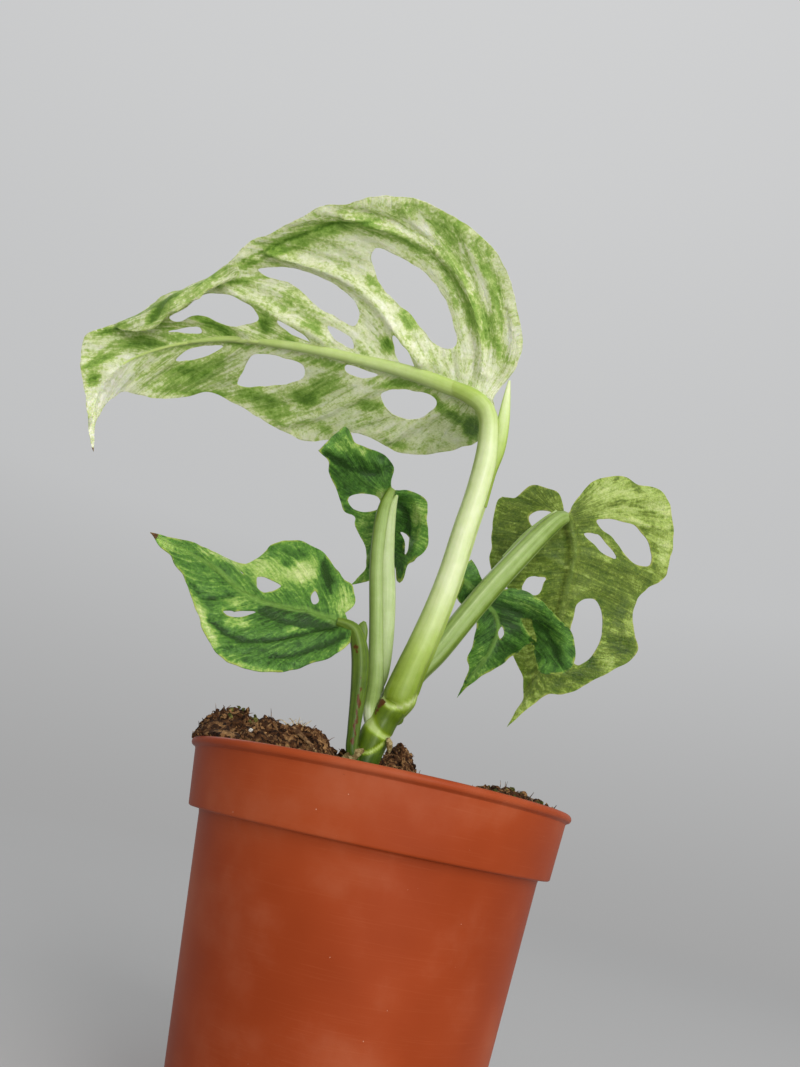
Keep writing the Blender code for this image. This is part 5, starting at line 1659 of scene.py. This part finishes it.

# %% [markdown]
# ## Its green and cream marks
# The ground tone is cream, and most patches pull it towards green. The larger ones come first and
# the small ones on top of them, as with glazes. The first three, broad and olive, are painted shade
# over the left part of the blade. A tone of 0 is the darkest green and 1 the palest cream.

# %% The large leaf's marks
LEAF_1["brown"] = [(-73.7, 115.2, 0.9)]
LEAF_1["patches"] = [
    # (x, height, half-length, half-width, angle, tone, strength)
    # painted shade: these three broad olive patches darken the left part of the blade
    (-60, 143, 12, 6, 0, 0.5, 0.7), (-68, 147, 9, 3.5, 10, 0.42, 0.7), (-50, 160, 10, 5, 150, 0.52, 0.6),
    (-50, 173, 9, 3, 35, 0.5, 0.6), (-12, 191.5, 10, 4.2, 152, 0.43, 0.9),
    (-1.5, 183, 8, 3.6, 125, 0.38, 0.9), (-2, 174, 9, 3, 120, 0.48, 0.8),
    (-24, 194.5, 8, 2.2, 10, 0.5, 0.75), (5, 173, 8, 1.8, 105, 0.32, 0.8),
    (-15, 190, 4.5, 0.7, 130, 0.95, 0.85), (0.6, 177, 8, 0.8, 115, 0.95, 0.85),
    (9.4, 165, 6, 1, 105, 0.92, 0.7), (-38, 184.5, 9, 2.4, 38, 0.3, 0.9),
    (-28.5, 187.2, 5, 2, -15, 0.34, 0.85), (-20, 186, 6, 1, 150, 0.2, 0.85),
    (1, 167.5, 9.5, 2.6, 129, 0.32, 0.95), (5, 163, 4.5, 1, 125, 0.2, 0.85),
    (-8, 181, 6, 2.6, 125, 0.36, 0.8), (-14.6, 162.8, 2.8, 1.5, 125, 0.3, 0.95),
    (-17.7, 155, 2.2, 1.5, 110, 0.14, 1), (-24.7, 171.3, 2.6, 1.2, 140, 0.32, 0.85),
    (-35.1, 156.7, 3, 1.4, 150, 0.3, 0.9), (-29.2, 141.7, 3.6, 2.6, 45, 0.3, 0.95),
    (-32.8, 137.6, 3, 1.7, 0, 0.06, 1), (-18.4, 138.9, 2.8, 1.4, 0, 0.26, 0.95),
    (4.9, 138.2, 1.9, 2.8, 10, 0, 1), (-9.9, 130.6, 3, 1.1, 0, 0.3, 0.9),
    (-0.7, 141.1, 6, 1.2, 152, 0.12, 0.95), (-13, 145.6, 4, 0.9, 15, 0.15, 0.9),
    (-46, 180.5, 6, 1.8, 45, 0.26, 0.85), (-46.5, 176.5, 4, 0.7, 30, 0.2, 0.85),
    (-71.9, 143.2, 5, 0.9, 12, 0.08, 0.95), (-79.5, 137, 5.5, 1, 45, 0.14, 0.95),
    (-79.4, 131.9, 1.3, 1.8, 0, 0.1, 0.9), (-58.9, 138.7, 4.5, 1.7, 8, 0.1, 1),
    (-54.5, 142, 2.5, 1.3, 40, 0.2, 0.9), (-51.8, 148.2, 3, 0.9, -5, 0.14, 0.9),
    (-55.5, 150.7, 3, 0.8, -25, 0.2, 0.85), (-58, 151.9, 5, 1, -15, 0, 1),
    (-46, 154.2, 1.5, 2.4, 20, 0.03, 1), (-40, 134.4, 4.5, 1.9, -22, 0.14, 1),
    (-60.9, 136, 4, 1.6, 10, 0.26, 0.85), (-45.3, 137, 2.6, 1.2, 60, 0.28, 0.85),
    (-42, 134.3, 6, 1.2, -30, 0.18, 0.9), (-54.8, 133.8, 6, 0.8, 8, 0.08, 0.9),
    (-27, 130.8, 5, 1.2, -15, 0.32, 0.75), (-66, 133, 4, 1, 0, 0.34, 0.75),
    (-75, 131, 5, 2.6, 80, 0.98, 0.75), (-78.5, 146, 5, 0.8, 35, 0.08, 0.9),
    (-41.3, 162.4, 4, 1.1, 160, 0.38, 0.85), (-39.7, 151.8, 2.4, 1.1, 150, 0.2, 0.95),
    (-54.1, 165.3, 5, 0.7, 25, 0.2, 0.9), (-52, 172, 5, 0.6, 40, 0.15, 0.9),
    (-63, 147, 3, 0.7, 5, 0.3, 0.85), (-31, 147.2, 6, 1, 0, 0.26, 0.85),
]
print(len(LEAF_1["patches"]), "patches on the large leaf")

# %% [markdown]
# ## Its rolled margin and proud midrib
# The margin has rolled forward over the upper windows. A sheet that is drawn from the front can't
# turn back behind itself, so the roll is a narrow second sheet that meets the first one. The midrib
# of this leaf is thicker than a sheet can carry. It is a loft that the stalk runs out into.

# %% Rolled margin, midrib and the finished leaf
LEAF_1_ROLL = {"rib_forward": 0, "seed": 2.6, "pleating": 0.12, "ragged": 0.5,
               "waviness": 0.3, "quilting": 0, "ground": 0.56}
LEAF_1_ROLL["outline"] = [
    [(-59.8, 167.2), (-62.1, 163.9), (-67.1, 159.6), (-71.1, 156.9), (-73.4, 153.3), (-76.4, 149.2),
     (-79.6, 146.6)],
    [(-77.9, 145.6), (-74.6, 146), (-71.1, 147.1), (-70.5, 148.1)], [(-70, 149.2), (-69.5, 151.2)],
    [(-68.2, 152.8), (-66.8, 153.5)], [(-65.7, 155.3), (-65, 156.4)],
    [(-62.9, 157.8), (-62, 159.9), (-58.6, 163.2), (-56.4, 166.6), (-57.8, 170.8)],
]
LEAF_1_ROLL["holes"] = []
LEAF_1_ROLL["lie"] = [
    (-57.8, 170.8, -22.5), (-59.2, 167.6, -20), (-67.1, 159.6, -16.4), (-72.4, 155, -14.4),
    (-79.6, 146.6, -10.8), (-74.6, 145.8, -13.4), (-69.6, 150.4, -16.6), (-65, 156.4, -19.2),
    (-62.4, 158.4, -20.4), (-68.6, 155, -17.6), (-57, 166.8, -21.8),
]
LEAF_1_ROLL["midrib"] = [(-59, 168, 0.05), (-64, 159, 0.05), (-70, 153, 0.05), (-78, 146.5, 0.05)]
LEAF_1_ROLL["veins"] = [
    [[(-57.8, 171.6), (-67.4, 160.2), (-73.8, 153.6), (-80, 146.9)],
     [(-57.2, 168.6), (-65, 158.4), (-71, 152.2), (-79, 145.8)],
     [(-56, 166.4), (-62, 157.6), (-68.6, 150.2), (-75, 145)]],
]
LEAF_1_ROLL["folds"] = [
    ([(-58.2, 168.2), (-62, 162.3), (-66.8, 157.8), (-70.2, 154), (-73.2, 149.8), (-78, 146.3)],
     0.9, 1.2),
    ([(-69.8, 155.4), (-70.6, 152.6), (-72, 149)], -0.4, 0.6),
]
LEAF_1_ROLL["brown"] = []
LEAF_1_ROLL["patches"] = [
    (-68.6, 155.8, 3.4, 0.8, 50, 0, 1), (-70.8, 151, 2.4, 0.6, 65, 0.05, 1),
    (-75.6, 149.4, 3.2, 0.5, 50, 0.1, 0.9), (-62.6, 161.4, 4, 0.4, 50, 0.3, 0.8),
    (-59.6, 165.6, 3, 0.4, 60, 0.25, 0.8), (-76, 146.6, 2, 0.5, 10, 0.3, 0.8),
]
LEAF_1_RIB = [
    # (x, height, depth, radius) of the proud midrib, which the stalk runs out into
    (5, 145.2, -13.2, 1), (1.6, 146.4, -13.2, 1.4), (-2, 147.2, -13.2, 1.65), (-9, 148.6, -13.1, 1.55),
    (-16.4, 149.4, -12.8, 1.35), (-24, 149.8, -12.3, 1.2), (-33.3, 150.1, -11.5, 1.05),
    (-42, 149.9, -10.6, 0.9), (-51.5, 149.1, -9.6, 0.7), (-58.5, 147.2, -8.8, 0.5),
    (-65, 144.6, -7.9, 0.25),
]
points, faces, fields = loft(LEAF_1_RIB, stalk_profile([]), sides=THIN_SIDES)
fields["tone"] = np.interp(fields["along"], (0, 4, 8, 20, 60), (0.6, 0.63, 0.67, 0.74, 0.66))
fields["brown"] = np.zeros(len(points))
midrib = add_piece("midrib_1", points, faces, [smooth_stalk], fields)
settle(midrib, ["leaf_1"])


def add_blade(number, shapes, finish):
    """Grow a leaf's sheets into one piece that stands for the leaf's solid."""
    points, faces, fields = join([grow_leaf(shape) for shape in shapes])
    settle(add_piece(f"blade_{number}", points, faces, [finish], fields), [f"leaf_{number}"])


add_blade(1, [LEAF_1, LEAF_1_ROLL], cream_leaf)

# %% [markdown]
# ## The low leaf on the left
# This older leaf is heart-shaped, with a few small windows. Its upper side faces the front, so
# the midrib is a shallow channel. The upper half is lime, the lower half dark green; the darkest
# patches, just under the midrib and in the upper crease, are painted shade.

# %% The low leaf on the left
LEAF_2 = {"rib_forward": -1.3, "seed": 4.1, "pleating": 0.12, "ragged": 0.45,
          "waviness": 0.25, "quilting": 0.3, "ground": 0.26}
LEAF_2["outline"] = [
    [(-50.1, 99.6), (-45.2, 99.2), (-39.7, 97.8), (-35.9, 97.4), (-33.2, 99.1), (-31.4, 102.3),
     (-28, 104.1), (-24.4, 104.5), (-20.1, 102.7), (-16.6, 99.4), (-13.2, 97.5), (-11.9, 94.2),
     (-13.3, 91.5)],
    [(-11.9, 89.2), (-10.8, 86)],
    [(-13.5, 82.9), (-19.4, 78.9), (-23.5, 77.2), (-28, 76.5), (-34.6, 77.7), (-39, 81.3), (-42.1, 86.3),
     (-45.6, 90.8), (-49.7, 94.8), (-56.3, 99.9)],
]
LEAF_2["holes"] = [
    [(-32.2, 95.3), (-29.4, 95.3), (-27.3, 94.1), (-29.6, 92.3), (-31.7, 92.9)],
    [(-20.2, 94.8), (-18.9, 92.7), (-20, 91.8), (-20.8, 93.3)],
    [(-37.1, 86.9), (-32.8, 87.8), (-30.8, 87.9), (-34.9, 85.8)],
    [(-36.3, 95.6), (-35.7, 95.5), (-35.2, 94.9), (-35.9, 95.1)],
]
LEAF_2["lie"] = [
    (-12, 89.2, -5.8), (-20.1, 90.1, -7.6), (-32.1, 90.6, -9.6), (-41.4, 95.6, -10.5), (-56.3, 99.9, -12),
    (-11, 85.9, -8.6), (-19.4, 78.9, -13), (-28, 76.5, -15.5), (-39, 81.3, -16), (-45.6, 90.8, -14),
    (-13.2, 97.5, -3), (-20.1, 102.7, -1), (-28, 104.1, -1), (-35.9, 97.4, -5.5), (-45.2, 99.2, -9.5),
    (-28, 84, -12.4),
]
LEAF_2["midrib"] = [
    (-12.2, 89.2, 1), (-20.1, 90.1, 0.8), (-32.1, 90.6, 0.65), (-41.4, 95.2, 0.5), (-54, 99.1, 0.35),
]
LEAF_2["veins"] = [
    [[(-12, 90), (-12, 93), (-13, 97.3)], [(-13.5, 89.5), (-15, 94), (-18.5, 100), (-21, 103.3)],
     [(-16, 89.7), (-19, 95), (-24, 100.5), (-28, 104.3)],
     [(-20.1, 90.1), (-25, 95), (-30, 99), (-33, 99.5)], [(-26, 90.5), (-31, 94.5), (-35.9, 97.6)],
     [(-31, 90.8), (-36, 94.5), (-41, 98.3)], [(-37, 92.5), (-42, 96), (-47, 99.5)],
     [(-45, 97), (-49, 98.6), (-53, 100)]],
    [[(-11.5, 88.8), (-11, 87.2), (-11, 86)], [(-13, 89), (-14, 86), (-17, 80.5)],
     [(-15, 89.2), (-18, 85), (-24, 80), (-27, 76.7)], [(-18, 89.6), (-23, 85), (-29, 80.5), (-35, 77.5)],
     [(-24, 90.1), (-29, 86.5), (-35, 83), (-40, 81.5)], [(-29, 90.4), (-34, 88), (-39, 86), (-43, 86.5)],
     [(-34, 91.2), (-39, 89.5), (-43, 89), (-46.5, 91)], [(-40, 94.2), (-44, 93.5), (-49, 94.5)],
     [(-48, 97.5), (-51, 97.2), (-53.5, 97.5)]],
]
LEAF_2["folds"] = [
    ([(-39.3, 84.7), (-33, 82.2), (-26.7, 83.1), (-20.8, 85.7), (-15.5, 88.3)], -0.6, 0.8),
    ([(-25.9, 80), (-22, 81), (-17, 83.6), (-12.5, 87)], -0.5, 0.7),
    ([(-30, 88.3), (-24, 87.2), (-18.5, 87.8), (-14, 88.8)], -0.4, 0.7),
    ([(-36, 90.6), (-41, 88.8), (-45, 91)], -0.3, 0.7),
    ([(-17, 94.5), (-18.6, 98), (-20, 102)], -0.5, 0.8),
    ([(-21, 90.5), (-26, 95.5), (-31, 99.5)], 0.7, 1.1),
    ([(-15.5, 90), (-17, 95), (-16.5, 99)], 0.6, 0.9),
    ([(-31.5, 91.5), (-36.5, 94.5), (-42, 97.5)], 0.6, 1),
    ([(-28, 81.5), (-22, 83.4), (-16, 86.5)], 0.6, 0.9),
]
LEAF_2["brown"] = [(-56.4, 99.8, 1), (-55.2, 99.4, 0.8)]
LEAF_2["patches"] = [
    # painted shade: the tone-0 patches at (-22, 88.2) under the midrib and (-19, 98.6) in the upper crease
    (-26, 98.5, 7.5, 4, 20, 0.8, 0.95), (-23, 98.5, 2.2, 1.7, 0, 1, 0.85),
    (-33.5, 97, 3, 1.4, -20, 0.8, 0.9), (-14, 93.5, 2.4, 3.2, 0, 0.74, 0.9),
    (-26.6, 101.3, 3, 1.3, 10, 0.16, 0.95), (-27.5, 99, 1.3, 0.9, 0, 0.2, 0.9),
    (-31, 102, 1.6, 1.2, 30, 0.15, 0.9), (-19, 98.6, 3.3, 1.2, 115, 0, 1),
    (-40, 97.4, 6, 0.9, -8, 0.76, 0.9), (-34, 89.4, 2.6, 1.1, 10, 0.76, 0.9),
    (-43.7, 88.2, 3, 0.8, -50, 0.62, 0.8), (-34.2, 84.8, 2.6, 0.7, 10, 0.72, 0.9),
    (-22, 88.2, 8, 1.5, -5, 0, 1), (-41.1, 85.3, 2, 0.9, -55, 1, 0.95),
    (-38, 81.3, 3.5, 0.7, -50, 0.86, 0.9), (-27, 76.9, 8, 0.4, -3, 0.8, 0.8),
    (-20.8, 86.5, 3, 0.5, 15, 0.64, 0.85), (-53, 98.4, 2.2, 1, -30, 0.85, 0.95),
    (-43, 93.5, 8, 2, -32, 0.4, 0.8), (-12, 84.6, 2, 0.6, 60, 0.7, 0.8),
]
add_blade(2, [LEAF_2], green_leaf)

# %% [markdown]
# ## The small upright leaf
# The small leaf behind the main stalk curls its two halves forward like cupped hands.
# One lobe reaches up to the left, and the other folds round the stalk's tip on the right.

# %% The small upright leaf
LEAF_3 = {"rib_forward": 0.2, "seed": 6.3, "pleating": 0.08, "ragged": 0.3,
          "waviness": 0.22, "quilting": 0.22, "ground": 0.22}
LEAF_3["outline"] = [
    [(-25.6, 127.9), (-22.9, 132.2), (-21.4, 131.6), (-19.3, 128.9), (-13.5, 127.8), (-10.3, 124.9),
     (-9.9, 120.8), (-8.6, 119.6)],
    [(-5.8, 120.4), (-1.9, 118.6), (0, 112.5), (0.2, 108.2), (-1.6, 105.2), (-3.1, 104), (-3.4, 100.4),
     (-4.4, 100.2), (-5.6, 103), (-7.6, 103.2), (-9.6, 99.4), (-13.3, 97.6)],
    [(-11.1, 101.5), (-12.5, 106), (-15.1, 110), (-15.8, 112.2), (-18.6, 113), (-20.2, 116.4),
     (-23.3, 120.5), (-24.3, 123.5), (-26.8, 125.5)],
]
LEAF_3["holes"] = [
    [(-11.6, 117.2), (-14.6, 117.7), (-18.2, 116.3), (-16.8, 113.9), (-14, 113.7), (-11.4, 114.6)],
    [(-5.9, 110.8), (-4.3, 110.2), (-3.4, 106.6), (-4.4, 106.4), (-5.2, 109.4)],
]
LEAF_3["lie"] = [
    (-9.5, 118.6, 4.4), (-9.4, 112, 6.6), (-9.3, 105, 8), (-13.3, 97.6, 11), (-10.4, 123.6, 3.6),
    (-15, 119, 6.4), (-17, 126, 1.6), (-25, 124, -2.6), (-22.3, 132.2, -4.4), (-17, 113.4, 8.4),
    (-15, 108.6, 10.4), (-6, 119, 3.4), (-1.2, 116, -0.4), (0.2, 109, -2.4), (-2.4, 104.6, -1),
    (-4, 100.2, 2.6), (-6.4, 112, 5.4),
]
LEAF_3["midrib"] = [(-9.4, 118.9, 1), (-9.8, 112, 0.75), (-10.4, 105, 0.55), (-12.4, 99.2, 0.35)]
LEAF_3["veins"] = [
    [[(-10, 119.5), (-10.8, 122), (-10.8, 125.5)], [(-10.2, 119.3), (-13.5, 124), (-18, 129)],
     [(-10.4, 118.8), (-16, 122.5), (-22.6, 131.5)], [(-10.5, 118.2), (-17, 120), (-26, 126)],
     [(-10.6, 117.5), (-17, 117.5), (-24, 121.5)], [(-10.3, 115), (-14, 114), (-19.5, 114.5)],
     [(-10.2, 112), (-13, 111), (-16, 112)], [(-10.4, 108), (-12, 107.5), (-14, 107.5)],
     [(-11, 103.5), (-11.6, 103), (-12.3, 102.5)]],
    [[(-9.3, 119.2), (-7, 120), (-4, 120)], [(-9.3, 118.5), (-6, 118), (-1.8, 118.3)],
     [(-9.5, 116), (-5.5, 115), (-0.2, 113)], [(-9.7, 112.5), (-6, 110.5), (0.3, 109)],
     [(-9.9, 109), (-6.5, 106.5), (-1.6, 105)], [(-10.3, 105), (-8.5, 104), (-7.2, 103)],
     [(-11.6, 101), (-11, 100.2), (-10, 99.6)]],
]
LEAF_3["folds"] = [
    ([(-10.5, 118.5), (-16, 121.5), (-25, 126.5)], 0.5, 1),
    ([(-8.5, 119.4), (-4.2, 118.6), (-1.4, 114.5), (-1, 110), (-2.2, 106.4)], 0.9, 1.1),
    ([(-8.4, 117.6), (-5.6, 115), (-4.4, 111.6), (-4.9, 107)], -0.6, 0.8),
    ([(-24.8, 125), (-20, 123), (-14, 122.6)], -0.4, 0.8),
    ([(-23.2, 130.5), (-18.5, 126.6), (-13, 125)], 0.6, 1),
]
LEAF_3["brown"] = []
LEAF_3["patches"] = [
    (-22.5, 128.5, 3.4, 2, 60, 0.55, 0.8), (-19.5, 128.5, 1, 0.7, 0, 0.9, 0.8),
    (-17.8, 127.3, 1, 0.7, 0, 0.9, 0.8), (-20.5, 124, 6, 1.2, -10, 0.08, 0.9),
    (-14, 122, 3.6, 2.4, -20, 0.14, 0.8), (-11, 118, 1.8, 1.4, 0, 0.8, 0.9),
    (-13, 110, 3, 4, 0, 0.62, 0.8), (-12.3, 110.8, 0.8, 0.8, 0, 0.3, 0.8),
    (-13, 102, 2, 4, 20, 0.62, 0.8), (-2.6, 115, 2.2, 3.6, 20, 0.72, 0.85),
    (-5.6, 110.5, 1.3, 5, 0, 0.08, 0.9), (-1, 109, 1.2, 3, 0, 0.55, 0.7),
    (-4.2, 102, 1, 2.6, 0, 0.12, 0.9),
]
add_blade(3, [LEAF_3], green_leaf)

# %% [markdown]
# ## The right-hand leaf
# The leaf at the far right hangs away from the front. Deep windows reach nearly to
# its margin, which leaves narrow straps of blade. Its upper lobe catches the most light.

# %% The right-hand leaf
LEAF_4 = {"rib_forward": 0.5, "seed": 9.2, "pleating": 0.12, "ragged": 0.4,
          "waviness": 0.3, "quilting": 0.28, "ground": 0.36}
LEAF_4["outline"] = [
    [(29.2, 124.8), (31.3, 129), (34.4, 131.8), (39, 133.5), (42, 131.9), (46, 132.2), (49.2, 129),
     (50.4, 124), (50.4, 116.8), (48.6, 111.2), (45.6, 108.8), (43.4, 104.8), (44, 100), (45.2, 95.9),
     (42.8, 92.6), (38, 88.8), (32.8, 84.8), (28.8, 83.6), (25.2, 80), (21.8, 75.8)],
    [(23.9, 82), (23.2, 86.4), (20.6, 90.4), (19, 96), (18.6, 102.2), (14, 106.6), (13.2, 112),
     (12.6, 118), (13, 122.8), (16.6, 123.4), (19.2, 126.8), (22.6, 127.3), (26.2, 125.8), (27.8, 121)],
]
LEAF_4["holes"] = [
    [(20, 119.8), (22, 121.8), (24.6, 121.6), (24.2, 118.6), (21.4, 117.6)],
    [(34, 121.9), (40, 122.7), (44.2, 121), (46.6, 116), (45.6, 113.8), (41.6, 115), (38.4, 118.4)],
    [(31.8, 118.2), (34.8, 118.7), (38.6, 115.6), (38.8, 114.2), (35.6, 115.4)],
    [(25.2, 107.2), (21.6, 106.2), (21, 103.4), (24, 103.4), (25, 106)],
    [(32.4, 103.2), (35.6, 104.6), (37.8, 100.8), (37.2, 94.8), (33.9, 90.4), (31.6, 94), (32, 100)],
]
LEAF_4["lie"] = [
    (27.8, 121, 17.8), (29.8, 114, 20.4), (29.4, 104, 24.4), (27.6, 92, 30), (21.8, 75.8, 38),
    (13, 118, 27), (20, 127, 22), (14.4, 106.6, 29), (19, 96, 31), (33, 131, 17), (41, 132.6, 18.4),
    (47.6, 131, 22), (50.6, 120, 28), (43.4, 104.8, 31), (45.2, 95.9, 33), (36, 87, 34), (21, 113, 22.4),
    (39, 118, 21.4),
]
LEAF_4["midrib"] = [
    (27.8, 121.2, 1.2), (29.9, 116, 1), (29.9, 108, 0.8), (28.6, 98, 0.65), (26.6, 88, 0.5),
    (23.2, 79, 0.35),
]
LEAF_4["veins"] = [
    [[(27.9, 121.5), (29, 125), (31.5, 129.5)], [(28.1, 121.3), (32, 127), (38, 133.5)],
     [(28.3, 121), (36, 126.5), (46, 132.2)], [(28.6, 120.5), (38, 124.5), (50.4, 125.5)],
     [(29, 119.5), (38, 121), (50.6, 117)], [(29.9, 115), (37, 115), (48.5, 111)],
     [(29.9, 111), (36, 109.5), (44.6, 107.5)], [(29.9, 107), (35, 106.5), (43.5, 104)],
     [(29.4, 103), (34, 103), (44, 100)], [(28.8, 99), (33, 97), (45, 96)],
     [(27.8, 94), (31, 90.5), (41.5, 91.5)], [(26.5, 88), (28.5, 86), (32, 84.5)],
     [(24.5, 82), (25.5, 81.3), (26.6, 81.3)]],
    [[(27.5, 121.6), (26.5, 123.5), (25.8, 126.2)], [(27.4, 121.4), (24, 123.5), (20, 127.3)],
     [(27.6, 121), (22, 122.5), (15, 123.6)], [(28.2, 119.5), (21, 118.5), (12.5, 119)],
     [(29.2, 116.5), (21, 114), (12.8, 113.5)], [(29.9, 112), (22, 109.5), (13.4, 109)],
     [(29.9, 108), (24, 105.8), (16.6, 104)], [(29.6, 104), (24, 101.5), (18.5, 100)],
     [(28.8, 99), (24, 96), (19, 95)], [(27.8, 94), (24, 91), (20.3, 90.5)],
     [(26.8, 89), (25, 86.5), (23, 86)], [(24.5, 82), (23.8, 80.5), (23, 79)]],
]
LEAF_4["folds"] = [
    ([(28.5, 121.5), (36, 126.5), (46, 130.5)], 0.9, 1.3),
    ([(29.5, 120.5), (37, 123.6), (48, 123)], 0.8, 1.1),
    ([(30, 122.5), (34.5, 128.5), (39.5, 132.5)], 0.6, 1),
    ([(42.2, 105), (41.6, 101.5), (43.4, 97)], 0.9, 0.9),
    ([(29.5, 113), (37, 113.5), (46.5, 111.5)], 0.5, 1.2),
    ([(29.5, 110), (22, 112.5), (14, 114.5)], 0.5, 1.2),
    ([(29, 101), (35, 107), (43, 105.5)], 0.5, 1.2),
    ([(28.4, 98), (24, 98), (20, 97)], 0.4, 1.1),
]
LEAF_4["brown"] = []
LEAF_4["patches"] = [
    (42, 128, 8, 4, -15, 0.9, 0.95), (48.8, 119, 1.8, 7, 0, 0.78, 0.9), (38, 127, 7, 0.8, 12, 0.35, 0.8),
    (44.5, 126.4, 4, 0.5, -15, 0.4, 0.8), (34, 128, 4, 3, 35, 0.72, 0.8), (44, 125, 1.6, 1, 0, 0.4, 0.8),
    (42, 131.5, 1, 1.4, 0, 0.3, 0.8), (40, 123.4, 5, 0.6, 0, 1, 0.8), (17, 116, 5, 6, 0, 0.34, 0.85),
    (13.8, 113.3, 0.7, 0.5, 0, 0.02, 0.9), (15.5, 109, 1.8, 1.6, 0, 0.6, 0.8),
    (21, 124.5, 3.6, 1.6, 0, 0.34, 0.8), (42.8, 102, 1.2, 3.6, 0, 0.66, 0.9),
    (41, 103.5, 0.9, 2, 0, 0.12, 0.9), (42.5, 96, 2.4, 2, 0, 0.2, 0.9),
    (39.5, 92, 1.6, 1.6, 0, 0.85, 0.9), (36, 92, 1, 2.2, 0, 0.1, 0.9), (23.5, 79.5, 3, 3, 50, 0.66, 0.9),
    (29, 85.5, 3.6, 1.6, 20, 0.45, 0.8), (33, 87.5, 3, 1.6, 30, 0.25, 0.8), (22, 94, 2, 5, 0, 0.6, 0.7),
]
add_blade(4, [LEAF_4], olive_leaf)

# %% [markdown]
# ## The dark leaf in the shade
# The last leaf hangs between the two stalks, in their shade. Its upper margin bends over
# like a hood, and the inside of the hood is very dark, with painted shade along its sinking folds.

# %% The dark leaf in the shade
LEAF_5 = {"rib_forward": -0.4, "seed": 12.4, "pleating": 0.08, "ragged": 0.3,
          "waviness": 0.25, "quilting": 0.25, "ground": 0.12}
LEAF_5["outline"] = [
    [(11, 106.4), (12.8, 103.8), (15.2, 102.8), (20, 103.5), (23.8, 102.8), (28, 100), (32, 96.6),
     (33.2, 91.6), (31.2, 88.4), (26.8, 87.7), (25.4, 90.4), (24, 93), (21.4, 90.4), (17.8, 86.4),
     (14, 83), (11.5, 79.4)],
    [(12.9, 85.2), (12.2, 87.6), (12.9, 91.2), (12.6, 95.6), (10.6, 97.4), (8.6, 98.4), (7.2, 101),
     (7.4, 105), (9.6, 108)],
]
LEAF_5["holes"] = [
    [(18, 95.2), (18.6, 93.8), (18, 92.6), (17.3, 93.9)],
    [(21.8, 97.6), (23.6, 97.4), (25.2, 94.2), (24.4, 94.2), (22.6, 96)],
]
LEAF_5["lie"] = [
    (8.2, 103.4, 12.6), (9.6, 108, 12.4), (13, 101, 14.6), (20, 103.5, 16), (28, 100, 14.6),
    (33.2, 92.6, 9.6), (31.2, 88.4, 8.6), (26.8, 87.7, 10.6), (23, 96, 18.6), (22, 91, 17),
    (16, 92, 19.6), (13, 88, 21), (11.5, 79.4, 24), (12.6, 95.6, 16.4),
]
LEAF_5["midrib"] = [
    (8.2, 103.4, 0.8), (13, 100.2, 0.7), (17, 96, 0.6), (16.6, 90, 0.5), (13.4, 83.4, 0.35),
]
LEAF_5["veins"] = [
    [[(8.5, 104), (9, 106), (9.8, 108)], [(9, 103.4), (12, 104), (14, 103.6)],
     [(10, 102.6), (16, 102.8), (22, 103.6)], [(12, 101.3), (20, 101), (31, 98)],
     [(14.5, 99.3), (23, 98), (33, 93)], [(16.5, 97), (24, 95.5), (31, 88.5)],
     [(17.2, 94.5), (21.5, 92.5), (25, 91.5)], [(17, 92), (19, 90), (21, 89.5)],
     [(16, 88.5), (17, 87), (17.8, 86)], [(14.5, 85.5), (15, 84.6), (15.5, 83.8)]],
    [[(8, 103), (7.4, 102), (7.1, 101)], [(9, 102.8), (8.3, 100.5), (8.5, 98.4)],
     [(12, 100.8), (11, 99), (10.7, 97.3)], [(14.5, 98.8), (13.5, 96.5), (12.6, 95)],
     [(16.8, 95.5), (14.5, 93), (12.8, 91)], [(17, 92), (14.5, 89.5), (12.3, 88)],
     [(16, 88), (14, 86), (12.7, 85)], [(14, 84.5), (13, 83), (12.1, 82)]],
]
LEAF_5["folds"] = [
    ([(12.5, 101), (18, 101.8), (24, 101), (30, 96.5), (31.5, 91)], 0.6, 1.3),
    ([(16.5, 96.5), (21, 95.5), (25, 93)], -0.5, 1.2),
    ([(14, 99.4), (20, 98.6), (26, 96.6), (29.6, 91.6)], -0.6, 0.8),
]
LEAF_5["brown"] = []
LEAF_5["patches"] = [
    (20, 102.4, 8, 1, -4, 0.4, 0.8), (30.5, 95, 1.8, 5, 20, 0.36, 0.8), (15, 86.5, 2.4, 4, 0, 0.5, 0.85),
    (24.5, 99.7, 2.2, 0.3, -10, 0.6, 0.8), (10.5, 104, 2, 2, 0, 0.34, 0.7),
    (28, 88.8, 3, 0.8, 0, 0.36, 0.8), (22.9, 95.4, 2.2, 0.8, 110, 0.8, 0.95),
    (26.5, 96.5, 5, 0.4, -38, 0.55, 0.8), (22, 100.4, 7, 0.35, -6, 0.55, 0.8),
]
add_blade(5, [LEAF_5], green_leaf)
